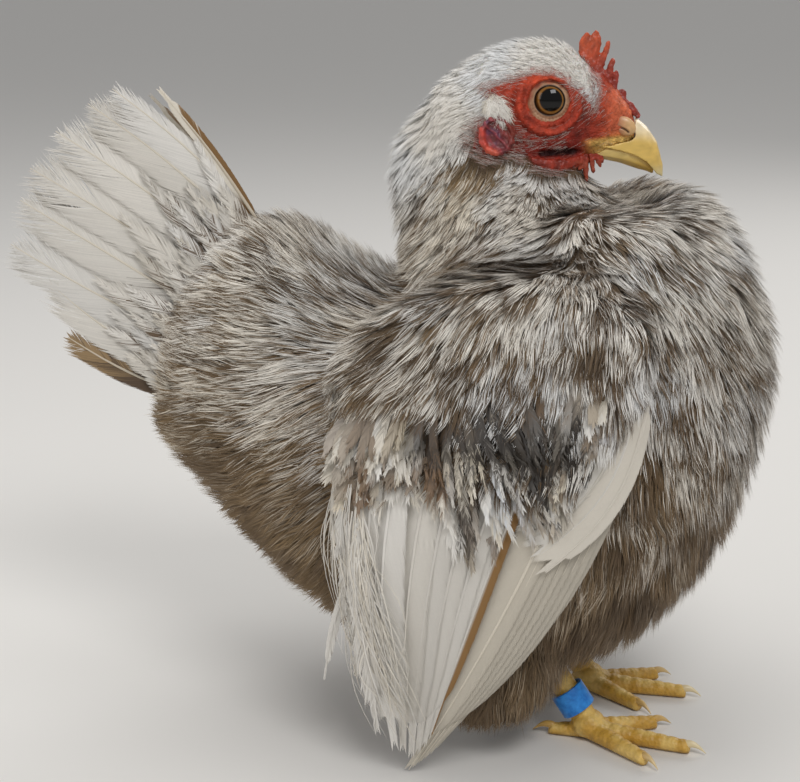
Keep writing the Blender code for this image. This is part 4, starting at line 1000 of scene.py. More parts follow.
def coatColours(which, barbs):
    # Colour at the foot and tip of each barb of the chosen feathers.
    spots, values = roots[which], rootValues[which]
    count = len(which)
    pale, warm = values[:, 3], values[:, 4]
    broad = cloud(spots, 11, 3)
    small = cloud(spots, 4.2, 60)
    golden = ease(cloud(spots, 15, 80), 0.25, 0.8)
    spread = np.clip(4 * pale * (1 - pale), 0.12, 1)
    level = pale + spread * (0.30 * broad + 0.30 * small + draw.normal(0, 0.20, count))
    # a painted cool sheen on pale strands, in broad patches and where the marks call for it
    coolSheen = ease(cloud(spots, 18, 90), -0.2, 0.7) * (1 - warm)
    dusky, gilt = np.zeros(count), np.zeros(count)
    for x, z, reach, change, darker, moreSheen, golder in marks:
        far = np.hypot(spots[:, 0] - x, (spots[:, 2] - z) * 1.2) / reach
        near = np.exp(-far**2) * (np.abs(spots[:, 1]) > 32)
        level = level + near * change
        coolSheen = np.maximum(coolSheen, near * moreSheen)
        dusky = np.maximum(dusky, near * darker)
        gilt = np.maximum(gilt, near * golder)
    light = blend(blend(shade["white"], shade["cream"], warm * 0.9), shade["sheenWhite"], coolSheen * 0.55)
    low = ease(98 - spots[:, 2] + 0.12 * np.maximum(0, -spots[:, 0]), 0, 45)  # duller down the body: painted shade, where less light from above reaches
    light = blend(light, shade["tan"] * 0.92, 0.72 * low)
    dusk = blend(shade["brown"], shade["taupe"], draw.random(count) * 0.85) * 0.86
    dusk = blend(dusk, shade["tan"], warm * draw.uniform(0.1, 0.6, count) + 0.35 * golden * warm)
    dusk = blend(dusk, shade["dark"], ease(-broad, 0.25, 0.9) * 0.55 * (1 - 0.6 * warm))
    dusk = blend(dusk, shade["dark"], dusky * 0.85)
    dusk = blend(dusk, blend(shade["gold"], shade["tan"], 0.5), gilt * 0.8)
    share = level[:, None] + draw.normal(0, 0.34, (count, barbs)) * spread[:, None]
    share = ease(share, 0.26, 0.76)
    tone = blend(dusk[:, None], light[:, None], share)
    tone *= draw.uniform(0.84, 1.10, (count, barbs, 1))
    return tone, share, light, dusk


def bodyFeathers(which, barbs, rows):
    # Soft body feathers: near parallel strands that gather a little at the feather's tip.
    values = rootValues[which]
    count = len(which)
    shape = (count, barbs)
    order = (np.arange(barbs) + draw.random(shape)) / barbs
    start = 0.02 + 0.66 * order
    length = featherLength[which][:, None]
    wide = values[:, 1:2]
    loose = values[:, 5:6]
    reach = length * np.minimum(0.50, 1.03 - start) * draw.uniform(0.75, 1.2, shape)
    offset = wide * draw.uniform(-1, 1, shape) * (0.75 - 0.35 * start)
    side = np.sign(offset)
    angle = np.abs(draw.normal(0.07, 0.09, shape)) + 0.05 * loose
    lift = draw.normal(0.05, 0.22, shape) + loose * draw.exponential(0.5, shape)
    lift *= np.clip(length / 14, 0.25, 1.2)
    thick = (0.08 + 0.052 * wide) * draw.uniform(0.6, 1.25, shape) * (1 - 0.2 * loose)
    curl = draw.uniform(0.2, 1.6, shape)
    who = np.repeat(np.arange(count), barbs)
    frames = tuple(part[which] for part in featherFrames)
    cup = np.full(count * barbs, 0.03)
    points, faces, q = strips(
        frames, who, start.ravel(), side.ravel(), reach.ravel(), angle.ravel(), curl.ravel(),
        thick.ravel(), lift.ravel(), cup, rows, offset.ravel(), 0.35,
    )
    tone, share, light, dusk = coatColours(which, barbs)
    tone = tone.reshape(-1, 3)[:, None]
    t = start.ravel()[:, None] + q[None] * (reach / length).ravel()[:, None]
    # the barb's darker foot: partly the feather's own grey-brown down, partly painted shade deep in the coat
    foot = blend(blend(dusk, shade["taupe"], 0.3) * 0.62, light * 0.8, ease(values[:, 3], 0.7, 0.92))
    foot = np.repeat(foot, barbs, 0)[:, None]
    tint = blend(foot, tone, ease(t, 0.15, 0.55))
    tipped = 0.5 * ease(t, 0.70, 1.0) * share.ravel()[:, None]
    tint = blend(tint, np.repeat(light, barbs, 0)[:, None] * 1.02, tipped)
    centre = np.repeat(rootUv[which], barbs, 0)[:, None]
    place = np.stack([
        (offset / wide).ravel()[:, None] * 0.0013 + 0 * q[None],
        (np.clip(t, 0, 1.1) - 0.5) * 0.003,
    ], -1)
    return points, faces, tint, centre + place


zones = {  # barbs on each feather, and rows along a barb
    "Head": (20, 2), "Neck": (38, 2), "Breast": (42, 2), "Back": (42, 2), "Flank": (38, 2),
    "Rump": (42, 2), "Belly": (38, 2),
}


def zoneOf(spots):
    x, z = spots[:, 0], spots[:, 2]
    zone = np.full(len(spots), "Flank", "U8")
    zone[(z > 100) & (x < 5)] = "Back"
    zone[x > 50] = "Breast"
    zone[(z < 62) & (x > -40)] = "Belly"
    zone[x < -38] = "Rump"
    zone[(z > 132 + np.clip(x, -20, 60) * 0.10) & (x > -30) & (x < 45)] = "Neck"
    head = np.linalg.norm(toHead(spots) - (0, 0, 2), axis=1) < 27
    zone[head & (z > 170)] = "Head"
    return zone


zone = zoneOf(roots)
most = 190000
total = 0
for name, (barbs, rows) in zones.items():
    for side, label in ((-1, "Right"), (1, "Left")):
        which = np.nonzero((zone == name) & (np.sign(roots[:, 1] + 1e-9) == side))[0]
        if not len(which):
            continue
        which = which[np.argsort(roots[which, 2])]
        parts = math.ceil(len(which) * barbs * (2 * rows - 1) / most)
        for k, part in enumerate(np.array_split(which, parts)):
            plumes = Plumes()
            plumes.add(*bodyFeathers(part, barbs, rows))
            mesh = plumes.mesh()
            suffix = "" if parts == 1 else str(k + 1)
            addPiece(f"coat{name}{label}{suffix}", mesh, "plumage")
            total += len(mesh.polygons)
            print(name, label, len(part), len(mesh.polygons))
print("body coat triangles", total)


# Large feathers
def bladeFrames(surface, root, tip, bow, layer, tilt, side, steps=10):
    # Frame of a feather that lies on a side surface y(x, z), from a root to a tip in the side view.
    t = np.linspace(0, 1, steps + 1)[:, None]
    line = tip - root
    over = np.array([line[1], -line[0]]) / np.linalg.norm(line)
    middle = root + line * t + over * bow * np.sin(math.pi * t)
    slope = line + over * bow * math.pi * np.cos(math.pi * t)
    slope /= np.linalg.norm(slope, axis=1, keepdims=True)
    across = np.column_stack([slope[:, 1], -slope[:, 0]])

    low, high = layer
    height = low + (high - low) * t[:, 0]

    def placed(reach):
        spot = middle - across * reach
        out = surface(spot[:, 0], spot[:, 1]) + height + tilt * reach
        return np.column_stack([spot[:, 0], out, spot[:, 1]])

    centre, fore, back = placed(0.0), placed(3.0), placed(-3.0)
    sides = unit(fore - back)
    ahead = unit(np.gradient(centre, axis=0))
    up = unit(np.cross(ahead, sides))
    up *= np.sign(up[:, 1:2].mean())
    flip = np.array([1, side, 1])
    length = np.linalg.norm(np.diff(centre, axis=0), axis=1).sum()
    return (centre * flip)[None], (up * flip)[None], (sides * flip)[None], np.array([length])


webShapes = {
    "tail": ((0.0, 0.30), (0.30, 0.85), (0.65, 1.0), (0.88, 0.84), (1.0, 0.42)),
    "brush": ((0.0, 0.35), (0.30, 0.90), (0.65, 1.0), (0.90, 0.95), (1.0, 0.85)),
    "flight": ((0.0, 0.34), (0.30, 0.92), (0.66, 1.0), (0.90, 0.66), (1.0, 0.22)),
    "covert": ((0.0, 0.50), (0.45, 1.0), (0.80, 0.82), (1.0, 0.30)),
}


def largeFeather(plumes, frames, shape, fore, back, quill, tone, fray=0.25, rows=4, pitch=0.55, broad=0.0):
    # One feather: a shaft and webs of single barbs that split into locks. Widths in mm.
    length = float(frames[3][0])
    pairs = []
    for side, width in ((1.0, fore), (-1.0, back)):
        number = max(8, int(length / pitch))
        start = np.linspace(0.02, 0.97, number) + draw.uniform(-0.15, 0.15, number) / number
        locks = np.cumsum(draw.random(number) < 0.04 + 0.14 * fray * (1 + 2 * start) * (1 + broad))
        loose = fray * (0.35 * (1 - broad) + (0.65 + 0.35 * broad) * ease(start, 0.35 + 0.15 * broad, 0.95))
        swing = draw.normal(0, 1, locks[-1] + 1)[locks] * (0.01 + 0.22 * loose)
        rising = draw.normal(0, 1, locks[-1] + 1)[locks] * (0.02 + 0.42 * loose)
        angle = math.radians(31) * (1 - (0.45 - 0.33 * broad) * start) * (1 + swing)
        angle = np.clip(angle, 0.10, 0.9)
        full = along(shape, np.clip(start + 0.16, 0, 1))[:, 0]
        tipward = ease(start, 0.78, 1.0)
        reach = width * full / np.sin(np.maximum(angle, 0.22)) * (1 - 0.30 * tipward)
        reach *= 1 + draw.normal(0, 1, number) * (0.008 + 0.12 * loose) + 0.25 * fray * tipward
        most = (1.06 + 0.04 * broad - start) * length / np.cos(angle) + 1.5 * (1 + 3 * fray)
        reach = np.minimum(reach, most)
        for _ in range(4 if broad else 0):  # a rounded brush at the end of a broad feather
            over = np.clip(reach * np.sin(angle) / width, 0, 1)
            end = length * 1.02 - 0.85 * width * (1 - np.sqrt(1 - over**2)) - start * length
            reach = np.minimum(reach, np.maximum(end, 2.5) / np.cos(angle))
        reach = reach * (1 + broad * draw.normal(0, 0.10, number) * ease(start, 0.3, 0.9))
        pairs.append((start, np.full(number, side), reach, angle, rising))
    start, side, reach, angle, rising = (np.concatenate(part) for part in zip(*pairs))
    number = len(start)
    curl = draw.uniform(0.36, 0.44, number) + draw.uniform(-0.1, 0.1, number) * fray
    wide = length / (number / 2) * np.sin(np.clip(angle, 0.25, 1)) * 1.9 + 0.16
    wide *= 1 - 0.45 * broad * ease(start, 0.45, 0.9)
    lift = rising + draw.normal(0, 1, number) * (0.004 + 0.10 * fray * ease(start, 0.4, 0.9))
    points, faces, q = strips(
        frames, np.zeros(number, int), start, side, reach, angle, curl, wide, lift,
        np.full(number, 0.012), rows, shingle=0.018,
    )
    t = start[:, None] + q[None] * (reach * np.cos(angle) / length)[:, None]
    out = q[None] * np.ones((number, 1))
    tint = tone(t, side[:, None] * out, start[:, None])
    tint = tint * (1 + draw.uniform(-1, 1, (number, 1, 1)) * (0.012 + 0.06 * fray))
    uv = rootPatch(frames, t, side[:, None] * out)
    plumes.add(points, faces, tint, uv)
    if quill is None:
        return
    # shaft: a tapered ridge
    segments = frames[0].shape[1] - 1
    share = np.arange(segments + 1) / segments
    half = 0.50 * (1 - 0.85 * share) + 0.05
    ridge = []
    for across, high in ((-1, 0.05), (0, 0.42), (1, 0.05)):
        x = (share * length)[None]
        place = x, (across * half)[None], (high * half / 0.3)[None]
        ridge.append(mapped(*frames, np.zeros(1, int), *place)[0])
    points = np.stack(ridge, 1)
    faces = []
    for k in range(segments):
        for j in range(2):
            a, b = k * 3 + j, (k + 1) * 3 + j
            faces += [(a, a + 1, b + 1), (a, b + 1, b)]
    color = tone(np.repeat(share, 3)[None], np.zeros((1, 3 * len(share))), np.zeros((1, 1)))[0]
    uv = rootPatch(frames, np.repeat(share, 3)[None], np.zeros((1, len(share) * 3)))
    plumes.add(points, np.array(faces), blend(color, quill, 0.75), uv)


def wisps(plumes, surface, roots, tips, bows, layer, side, tones, wide=0.4):
    # Long single barbs, each on a line of its own.
    for root, tip, bow, tone in zip(roots, tips, bows, tones):
        frames = bladeFrames(surface, root, tip, bow, layer, 0.0, side, 9)
        one = np.ones(1)
        points, faces, q = strips(
            frames, np.zeros(1, int), 0 * one, one, frames[3], 0.01 * one, one,
            wide * draw.uniform(0.6, 1.3, 1), draw.uniform(-0.3, 1.6, 1), 0 * one, 9,
        )
        uv = rootPatch(frames, q[None], 0 * q[None])
        tint = np.broadcast_to(tone * draw.uniform(0.85, 1.08), (1, len(q), 3))
        plumes.add(points, faces, tint, uv)


def rootPatch(frames, t, s):
    root = frames[0][0, :1]
    centre = boxUnwrap(root, frames[1][0, :1])
    return centre[0] + np.stack([s * 0.0015, (np.clip(t, 0, 1.1) - 0.5) * 0.003 + 0 * s], -1)


def plainTone(base, foot, footEnd, edge=None, freckle=0.0, soft=0.12, rough=0.0):
    # A web's colour from its base colour, the darker foot and a marked front edge.
    seed = float(draw.uniform(0, 99))

    def tone(t, s, start):
        wander = 0.10 * np.sin(start * 23 + seed) + draw.normal(0, rough, start.shape)
        made = blend(foot, base, ease(t + wander, footEnd - soft, footEnd + soft))
        if edge is not None:
            made = blend(made, edge, ease(s, 0.04, 0.16) * ease(t, 0.1, 0.2))
        if freckle:
            wave = np.sin(start * 37 + seed) * np.sin(start * 91 + seed * 3)
            made = blend(made, shade["taupe"], freckle * ease(wave, 0.2, 0.8))
        return made * np.ones((*np.broadcast(t, s).shape, 1))

    return tone


def rootAt(share, above=0.0):
    line = wing["elbow"] - wing["wrist"]
    up = np.array([line[1], -line[0]]) / np.linalg.norm(line)
    return wing["wrist"] + line * share + up * above


def easedTip(tips, share, power):
    a, b = tips
    return np.array([a[0] + (b[0] - a[0]) * share, a[1] + (b[1] - a[1]) * share**power])


def flow(share):  # the way the wing's feathers point at a share of the arm
    lean = math.radians(float(along(wing["flow"], share)[0]))
    return np.array([math.sin(lean), -math.cos(lean)])


def coverReach(root, way):  # from a root along its way to the line of the coverts' tips
    reach = np.arange(3.0, 52.0, 0.5)
    spots = root + way * reach[:, None]
    edge = along(wing["coverTips"], spots[:, 0])[:, 0]
    below = np.nonzero(spots[:, 1] < edge)[0]
    return float(reach[below[0]]) if len(below) else 45.0


def formOut(spot, side):  # how far the bird's form stands out over the wing's side, at x and z
    hit = onSkin.tree.ray_cast(Vector((spot[0], side * 130, spot[1])), Vector((0, -side, 0)))[0]
    return abs(hit[1]) - float(wingSide(spot[0], spot[1])) if hit else 0.0


def patchTone(root, line):
    # A covert's colour along its length, from the patches it lies over.
    light = blend(shade["white"], shade["cream"], draw.random() * 0.8) * draw.uniform(0.72, 0.98)
    if draw.random() < 0.35:
        light = blend(light, shade["taupe"], draw.uniform(0.4, 0.9))
    tones = []
    for share in (0.0, 0.35, 0.7, 1.0):
        x, z = root + line * share
        tone = light * (0.50 + 0.52 * float(ease(share, 0.0, 0.75)))
        for middleX, middleZ, wide, tall, name, strength in wing["patches"]:
            near = math.exp(-((x - middleX) / wide) ** 2 - ((z - middleZ) / tall) ** 2) * strength
            tone = blend(tone, shade[name], float(ease(near, 0.25, 0.95)) * draw.uniform(0.80, 1.0))
        tones.append(tone)
    tones = np.array(tones)
    seed = float(draw.uniform(0, 99))

    def tone(t, s, start):
        place = t + 0.10 * np.sin(start * 23 + seed) + draw.normal(0, 0.10, start.shape) + 0 * s
        found = [np.interp(place, (0.0, 0.35, 0.7, 1.0), tones[:, c]) for c in range(3)]
        return np.stack(found, -1)

    return tone


def makeWing(side, label):
    white = shade["white"]
    cream = blend(white, shade["cream"], 0.6)
    quill = blend(white, shade["cream"], 0.6)
    node = f"wing_{label.lower()}"
    plumes = Plumes()
    count = 8
    for k in range(count):
        share = k / (count - 1)
        root = np.array([62.0, 112.0]) + np.array([-12.0, -2.0]) * share
        tip = easedTip(wing["primaryTips"], share, 0.6)
        layer = (3.0 + 0.30 * k, 2.2 + 0.30 * k)
        frames = bladeFrames(wingSide, root, tip, -7.5 + 4.5 * share, layer, 0.10, side)
        base = cream * (0.60 + 0.10 * share) * draw.uniform(0.97, 1.03)
        largeFeather(
            plumes, frames, webShapes["flight"], 3.4 + 1.2 * share, 9.5, quill,
            plainTone(base, base * 0.94, 0.2), 0.03, pitch=0.42,
        )
    for k in range(4):
        share = k / 3
        root = np.array([63.0, 114.5]) + np.array([-9.0, -2.5]) * share
        tip = np.array([38.5, 69.5]) + np.array([-4.0, 14.0]) * share
        layer = (5.8 - 0.5 * k, 6.4 - 0.6 * k)
        frames = bladeFrames(wingSide, root, tip, -5.6 + 1.6 * share, layer, 0.08, side)
        base = blend(white, cream, 0.2 + 0.5 * draw.random()) * 0.80
        tone = plainTone(base, base * 0.95, 0.2)
        largeFeather(plumes, frames, webShapes["flight"], 3.4, 8.5, base * 1.04, tone, 0.0, pitch=0.36)
    addPiece(f"primaries{label}", plumes.mesh(), "flightWeb", [f"{node}_primaries"])
    plumes = Plumes()
    # root and tip in x and z, bow, layer at root and tip, width before and behind the shaft, fray
    blades = [
        ((37, 108), (4.5, 14), 0.0, (4.6, 5.6), 3.4, 8.0, 0.03),
        ((29, 107), (2.8, 11), 0.5, (4.8, 5.8), 4.4, 8.0, 0.03),
        ((22, 105), (0.8, 8.5), 1.0, (5.0, 6.0), 5.2, 8.0, 0.03),
        ((15, 104), (-1.2, 7), 1.6, (5.2, 6.2), 6.4, 8.0, 0.04),
        ((8, 103), (-3.6, 9), 2.2, (5.4, 6.4), 8.0, 8.0, 0.05),
        ((-16, 66), (-29, 25), 1.5, (2.2, 2.6), 2.2, 1.6, 0.3),
        ((-9, 99), (-17.5, 30), 1.0, (5.0, 5.2), 6.0, 4.2, 0.9),
        ((-12, 98), (-20, 48), 1.0, (5.2, 5.4), 5.0, 3.6, 1.0),
        ((-14, 100), (-21.5, 66), 0.6, (5.4, 5.6), 4.0, 3.4, 1.0),
        ((-2, 100), (-5.5, 11), 3.6, (6.8, 8.0), 8.6, 8.8, 0.10),
        ((-8, 98), (-10, 15), 2.6, (7.8, 9.2), 4.6, 6.4, 0.75),
    ]
    for k, (root, tip, bow, layer, fore, back, fray) in enumerate(blades):
        frames = bladeFrames(wingSide, np.array(root, float), np.array(tip, float), bow, layer, 0.05, side)
        base = blend(white, cream, 0.1 + draw.uniform(0.0, 0.3)) * (0.78 if k < 4 else 0.84)
        if k == len(blades) - 2:
            base = white * 0.93
        tone = plainTone(base, base * 0.95, 0.2, shade["gold"] if k == 0 else None)
        largeFeather(plumes, frames, webShapes["flight"], fore, back, base * 1.03, tone, fray, pitch=0.42)
    for number, shift, layer in ((130, -20.5, 5.4), (120, -14.0, 9.6)):
        down = draw.random(number)
        starts = np.column_stack([shift + 4 * down + draw.normal(0, 1.2, number), 92 - 50 * down])
        drop = draw.uniform(24, 48, number) * (1 - 0.30 * down)
        ends = starts + np.column_stack([drop * (0.05 + 0.32 * down) + draw.normal(0, 3.0, number), -drop])
        ends[:, 1] = np.maximum(ends[:, 1], draw.uniform(1.0, 8, number))
        tones = blend(white, cream, draw.uniform(0.0, 1.0, number)) * draw.uniform(0.70, 0.95, (number, 1))
        bows = draw.normal(1.0, 2.4, number)
        wisps(plumes, wingSide, starts, ends, bows, (layer, layer - 0.5), side, tones, 0.34)
    flight = f"{node}_secondaries"
    addPiece(f"secondaries{label}", plumes.mesh(), "flightWeb", [flight])
    plumes = Plumes()
    for count, above, most, width, low, high in wing["tiers"]:
        for k in range(count):
            share = 0.01 + 0.98 * (k + draw.uniform(-0.3, 0.3)) / (count - 1)
            root = rootAt(share, above + draw.uniform(-2.0, 2.0))
            way = flow(share)
            swing = draw.normal(0, 0.13)
            way = np.array([way[0] - way[1] * swing, way[1] + way[0] * swing])
            reach = max(5.0, coverReach(root, way) * most * draw.uniform(0.84, 1.10) + 1.0)
            half = width * draw.uniform(0.75, 1.15)
            jog = draw.uniform(-0.6, 0.6)
            bow = draw.normal(0.4, 0.8)
            if share < 0.06:
                continue
            base = formOut(root, side) + low
            tip = root + way * reach
            over = max(high + 2.2 * float(ease(-tip[0], -9, 0)), formOut(tip, side) + 0.8) + jog
            frames = bladeFrames(wingSide, root, tip, bow, (base, over), 0.09, side, 7)
            tone = patchTone(root, way * reach)
            fray = 0.35 if share < 0.30 and most > 0.7 else draw.uniform(0.6, 1.0)
            largeFeather(plumes, frames, webShapes["covert"], half, half, None, tone, fray, 3, 0.42)
    addPiece(f"coverts{label}", plumes.mesh(), "flightWeb", [node])


for side, label in ((-1, "Right"), (1, "Left")):
    makeWing(side, label)
print("wings")

tail = {
    "roots": (np.array([-64.0, 147.0]), np.array([-84.0, 99.0])),
    "fan": [(0.0, 51, 54), (0.17, 47, 66), (0.36, 39, 73.5), (0.67, 24, 65), (1.0, 21, 36)],
    "ridge": 3.5,
    "spread": 0.34,
    # place of the root, tip in x and z, bow, half width below and above the shaft, kind
    "feathers": (
        (1.02, (-119.5, 115.8), -1.5, 5.0, 4.0, "low"), (0.88, (-126.5, 130.0), -3.0, 8.0, 8.0, "white"),
        (0.72, (-136.5, 141.5), -1.5, 9.0, 9.0, "white"), (0.57, (-135.5, 154.5), 0.0, 9.5, 9.5, "white"),
        (0.42, (-132.0, 164.5), 1.0, 9.5, 9.5, "white"), (0.27, (-126.0, 175.5), 2.0, 9.5, 9.0, "white"),
        (0.12, (-117.0, 183.5), 2.5, 9.0, 7.0, "white"), (0.02, (-109.0, 187.5), 2.5, 9.5, 3.6, "white"),
    ),
    "edgeFeather": {-1: ((-65.5, 150.0), (-95.4, 187.4)), 1: ((-71.0, 150.0), (-104.0, 184.5))},
    # number, shortest and longest share of the fan's reach, width, layer, share with a dark foot
    "coverts": (
        (10, 0.42, 0.62, 8, 1.4, 0.3),
        (14, 0.28, 0.42, 6.5, 2.6, 0.6),
        (16, 0.18, 0.28, 5.5, 3.8, 0.8),
    ),
}


def tailSide(x, z):
    rise = math.radians(tail["fan"][0][1])
    ridge = tail["roots"][0]
    below = (ridge[0] - x) * math.sin(rise) - (z - ridge[1]) * math.cos(rise)
    return tail["ridge"] + tail["spread"] * np.maximum(0, below)


def tailLine(share):
    rise, reach = along(tail["fan"], share)
    rise = math.radians(float(rise))
    root = tail["roots"][0] + (tail["roots"][1] - tail["roots"][0]) * share
    return root, np.array([-math.cos(rise), math.sin(rise)]), float(reach)


def makeTail():
    plumes = Plumes()
    white, cream = shade["white"], blend(shade["white"], shade["cream"], 0.5)
    quill = blend(shade["white"], shade["cream"], 0.8) * 0.9
    for side in (-1, 1):
        for share, tip, bow, lower, upper, kind in tail["feathers"]:
            root = tailLine(share)[0]
            tip = np.array(tip) + draw.normal(0, 0.8, 2)
            if side > 0 and share < 0.3:  # the far fan stays behind the near one
                tip, root = tip + (-4.5, -3.5), root + (-5.0, -1.0)
            root = root - (tip - root) * 0.06
            frames = bladeFrames(tailSide, root, tip, bow, (0.0, 0.0), 0.10, side)
            base = blend(white, cream, draw.uniform(0.0, 0.6)) * draw.uniform(0.76, 0.86)
            footEnd, fray = draw.uniform(0.10, 0.2), 0.95
            if kind == "low":
                base, footEnd, fray = blend(shade["tan"], shade["brown"], 0.35), 0.6, 0.5
            tone = plainTone(base, blend(shade["dark"], shade["brown"], 0.6), footEnd, soft=0.14, rough=0.10)
            largeFeather(plumes, frames, webShapes["brush"], lower, upper, quill, tone, fray, 4, 0.30, 1.0)
        root, tip = (np.array(spot) for spot in tail["edgeFeather"][side])
        frames = bladeFrames(tailSide, root, tip, 1.2, (1.2, 0.8), 0.10, side)
        gilt = blend(shade["gold"], shade["brown"], 0.35)
        paleTip = plainTone(cream * 0.95, gilt, 0.80, cream * 0.9, soft=0.08, rough=0.04)
        largeFeather(plumes, frames, webShapes["tail"], 2.6, 2.4, quill, paleTip, 0.12, 4, 0.30)
        for count, near, far, wide, layer, dark in tail["coverts"]:
            for k in range(count):
                share = min(1.0, (k + draw.uniform(0.1, 0.6)) / count)
                root, way, reach = tailLine(share)
                if side > 0 and share < 0.3:
                    root = root + (-5.0, -2.0)
                reach *= draw.uniform(near, far)
                swing = draw.normal(0, 0.12)
                way = np.array([way[0] - way[1] * swing, way[1] + way[0] * swing])
                ends = root - way * 4, root + way * reach
                frames = bladeFrames(tailSide, *ends, -1.0, (layer, layer), 0.10, side, 7)
                base = blend(white, cream, draw.uniform(0.0, 0.9)) * draw.uniform(0.74, 0.92)
                foot = shade["brown"] * 0.9 if draw.random() < dark else base * 0.7
                tone = plainTone(base, foot, draw.uniform(0.35, 0.7), freckle=0.15, soft=0.22, rough=0.20)
                half = wide * draw.uniform(0.38, 0.56)
                largeFeather(plumes, frames, webShapes["covert"], half, half, None, tone, 1.0, 3, 0.36, 0.3)
    addPiece("tailFeathers", plumes.mesh(), "flightWeb", ["tail"])


makeTail()
print("tail")


# Head
def makeEyes():
    for side, label in ((-1, "right"), (1, "left")):
        bm = bmesh.new()
        turn = Matrix.Rotation(math.pi / 2, 4, "X")
        bmesh.ops.create_uvsphere(bm, u_segments=64, v_segments=48, radius=bird["eyeRadius"], matrix=turn)
        mesh = meshOf(bm)
        local = spotsOf(mesh)
        placeSpots(mesh, toRow(fromHead(local + (bird["eyeAt"][0], side * bird["eyeOut"], bird["eyeAt"][1]))))
        layer = mesh.attributes.new("fromAxis", "FLOAT", "POINT")
        inner = 1 - ease(np.hypot(local[:, 0], local[:, 2]), 3.1, 4.1)  # the pupil looks a little forward
        away = np.hypot(local[:, 0] - 0.45 * inner, local[:, 2] - 0.25 * inner)
        layer.data.foreach_set("value", away.astype(np.float32))
        addPiece(f"eye{label.title()}", mesh, "wetEye", [f"eye_{label}"])


lids = {
    "segments": 96,
    # distance from the eye's axis, height over the ball or face, both in mm
    "profile": (
        (4.10, -0.15), (4.22, 0.10), (4.40, 0.34), (4.70, 0.50), (5.05, 0.46), (5.35, 0.36), (5.65, 0.34),
        (5.95, 0.26), (6.25, 0.20), (6.6, 0.05), (7.0, -0.35),
    ),
}


def makeLids():
    # A ring of thin skin round each eye, from the eyeball to the face.
    bm = bmesh.new()
    eyeX, eyeZ = bird["eyeAt"]
    local = toHead(toOwn(spotsOf(skinMesh)))
    for side in (-1, 1):
        near = local[(np.hypot(local[:, 0], local[:, 2]) < 11) & (local[:, 1] * side > 6)]
        tree = sideTree(near)
        rings = []
        for k in range(lids["segments"]):
            angle = 2 * math.pi * k / lids["segments"]
            way = np.array([math.cos(angle), math.sin(angle)])
            wave = 0.10 * math.sin(angle * 3 + 1) + 0.05 * math.sin(angle * 7)
            found = tree.find_n((eyeX + way[0] * 7.0, 0, eyeZ + way[1] * 7.0), 4)
            cheekLevel = sum(near[i][1] * side for _, i, _ in found) / len(found)
            ring = []
            for far, high in lids["profile"]:
                ball = bird["eyeOut"] + math.sqrt(max(0, bird["eyeRadius"] ** 2 - min(far, 5.6) ** 2))
                toFace = float(ease(far, 4.6, 6.8))
                level = ball * (1 - toFace) + cheekLevel * toFace
                stretch = far * (1 + 0.03 * math.cos(2 * angle)) + wave * toFace
                fine = 0.05 * math.sin(angle * 31) * math.sin(math.pi * toFace)
                out = side * (level + high + fine)
                ring.append((eyeX + way[0] * stretch, out, eyeZ + way[1] * stretch))
            rings.append(toRow(fromHead(np.array(ring))))
        verts = [[bm.verts.new(spot) for spot in ring] for ring in rings]
        loops = []
        for loop in zip(*verts):
            loops.append([bm.edges.new((a, b)) for a, b in zip(loop, loop[1:] + loop[:1])])
        for a, b in zip(loops, loops[1:]):
            bmesh.ops.bridge_loops(bm, edges=a + b)
    bmesh.ops.recalc_face_normals(bm, faces=bm.faces)
    mesh = meshOf(bm)
    spots = toHead(toOwn(spotsOf(mesh))) - (eyeX, 0, eyeZ)
    away = np.hypot(spots[:, 0], spots[:, 2])
    turn = np.arctan2(spots[:, 2], spots[:, 0])
    fade = ease(away + 0.30 * np.sin(turn * 9) + 0.8 * np.sin(turn + 0.3) - 0.4 * np.cos(turn), 4.9, 6.4)
    tone = blend(linear("#b08b6c"), linear("#99452f"), fade)
    ticks = np.maximum(0, np.sin(turn * 34 + 2 * np.sin(away * 2.2))) ** 2 * ease(-np.sin(turn), -0.3, 0.4)
    ticks *= np.exp(-((away - 5.3) / 0.7) ** 2)
    tone = blend(tone, linear("#6d3a28"), 0.65 * ticks)
    tone = blend(linear("#2e2019"), tone, ease(away, 4.18, 4.5))
    setTint(mesh, tone * (1 + 0.12 * cloud(spots, 0.9, 7))[:, None])
    outward = spots[:, 1] * normalsOf(mesh)[:, 1]
    if outward.mean() < 0:
        mesh.flip_normals()
    addPiece("eyelids", mesh, "lidSkin")


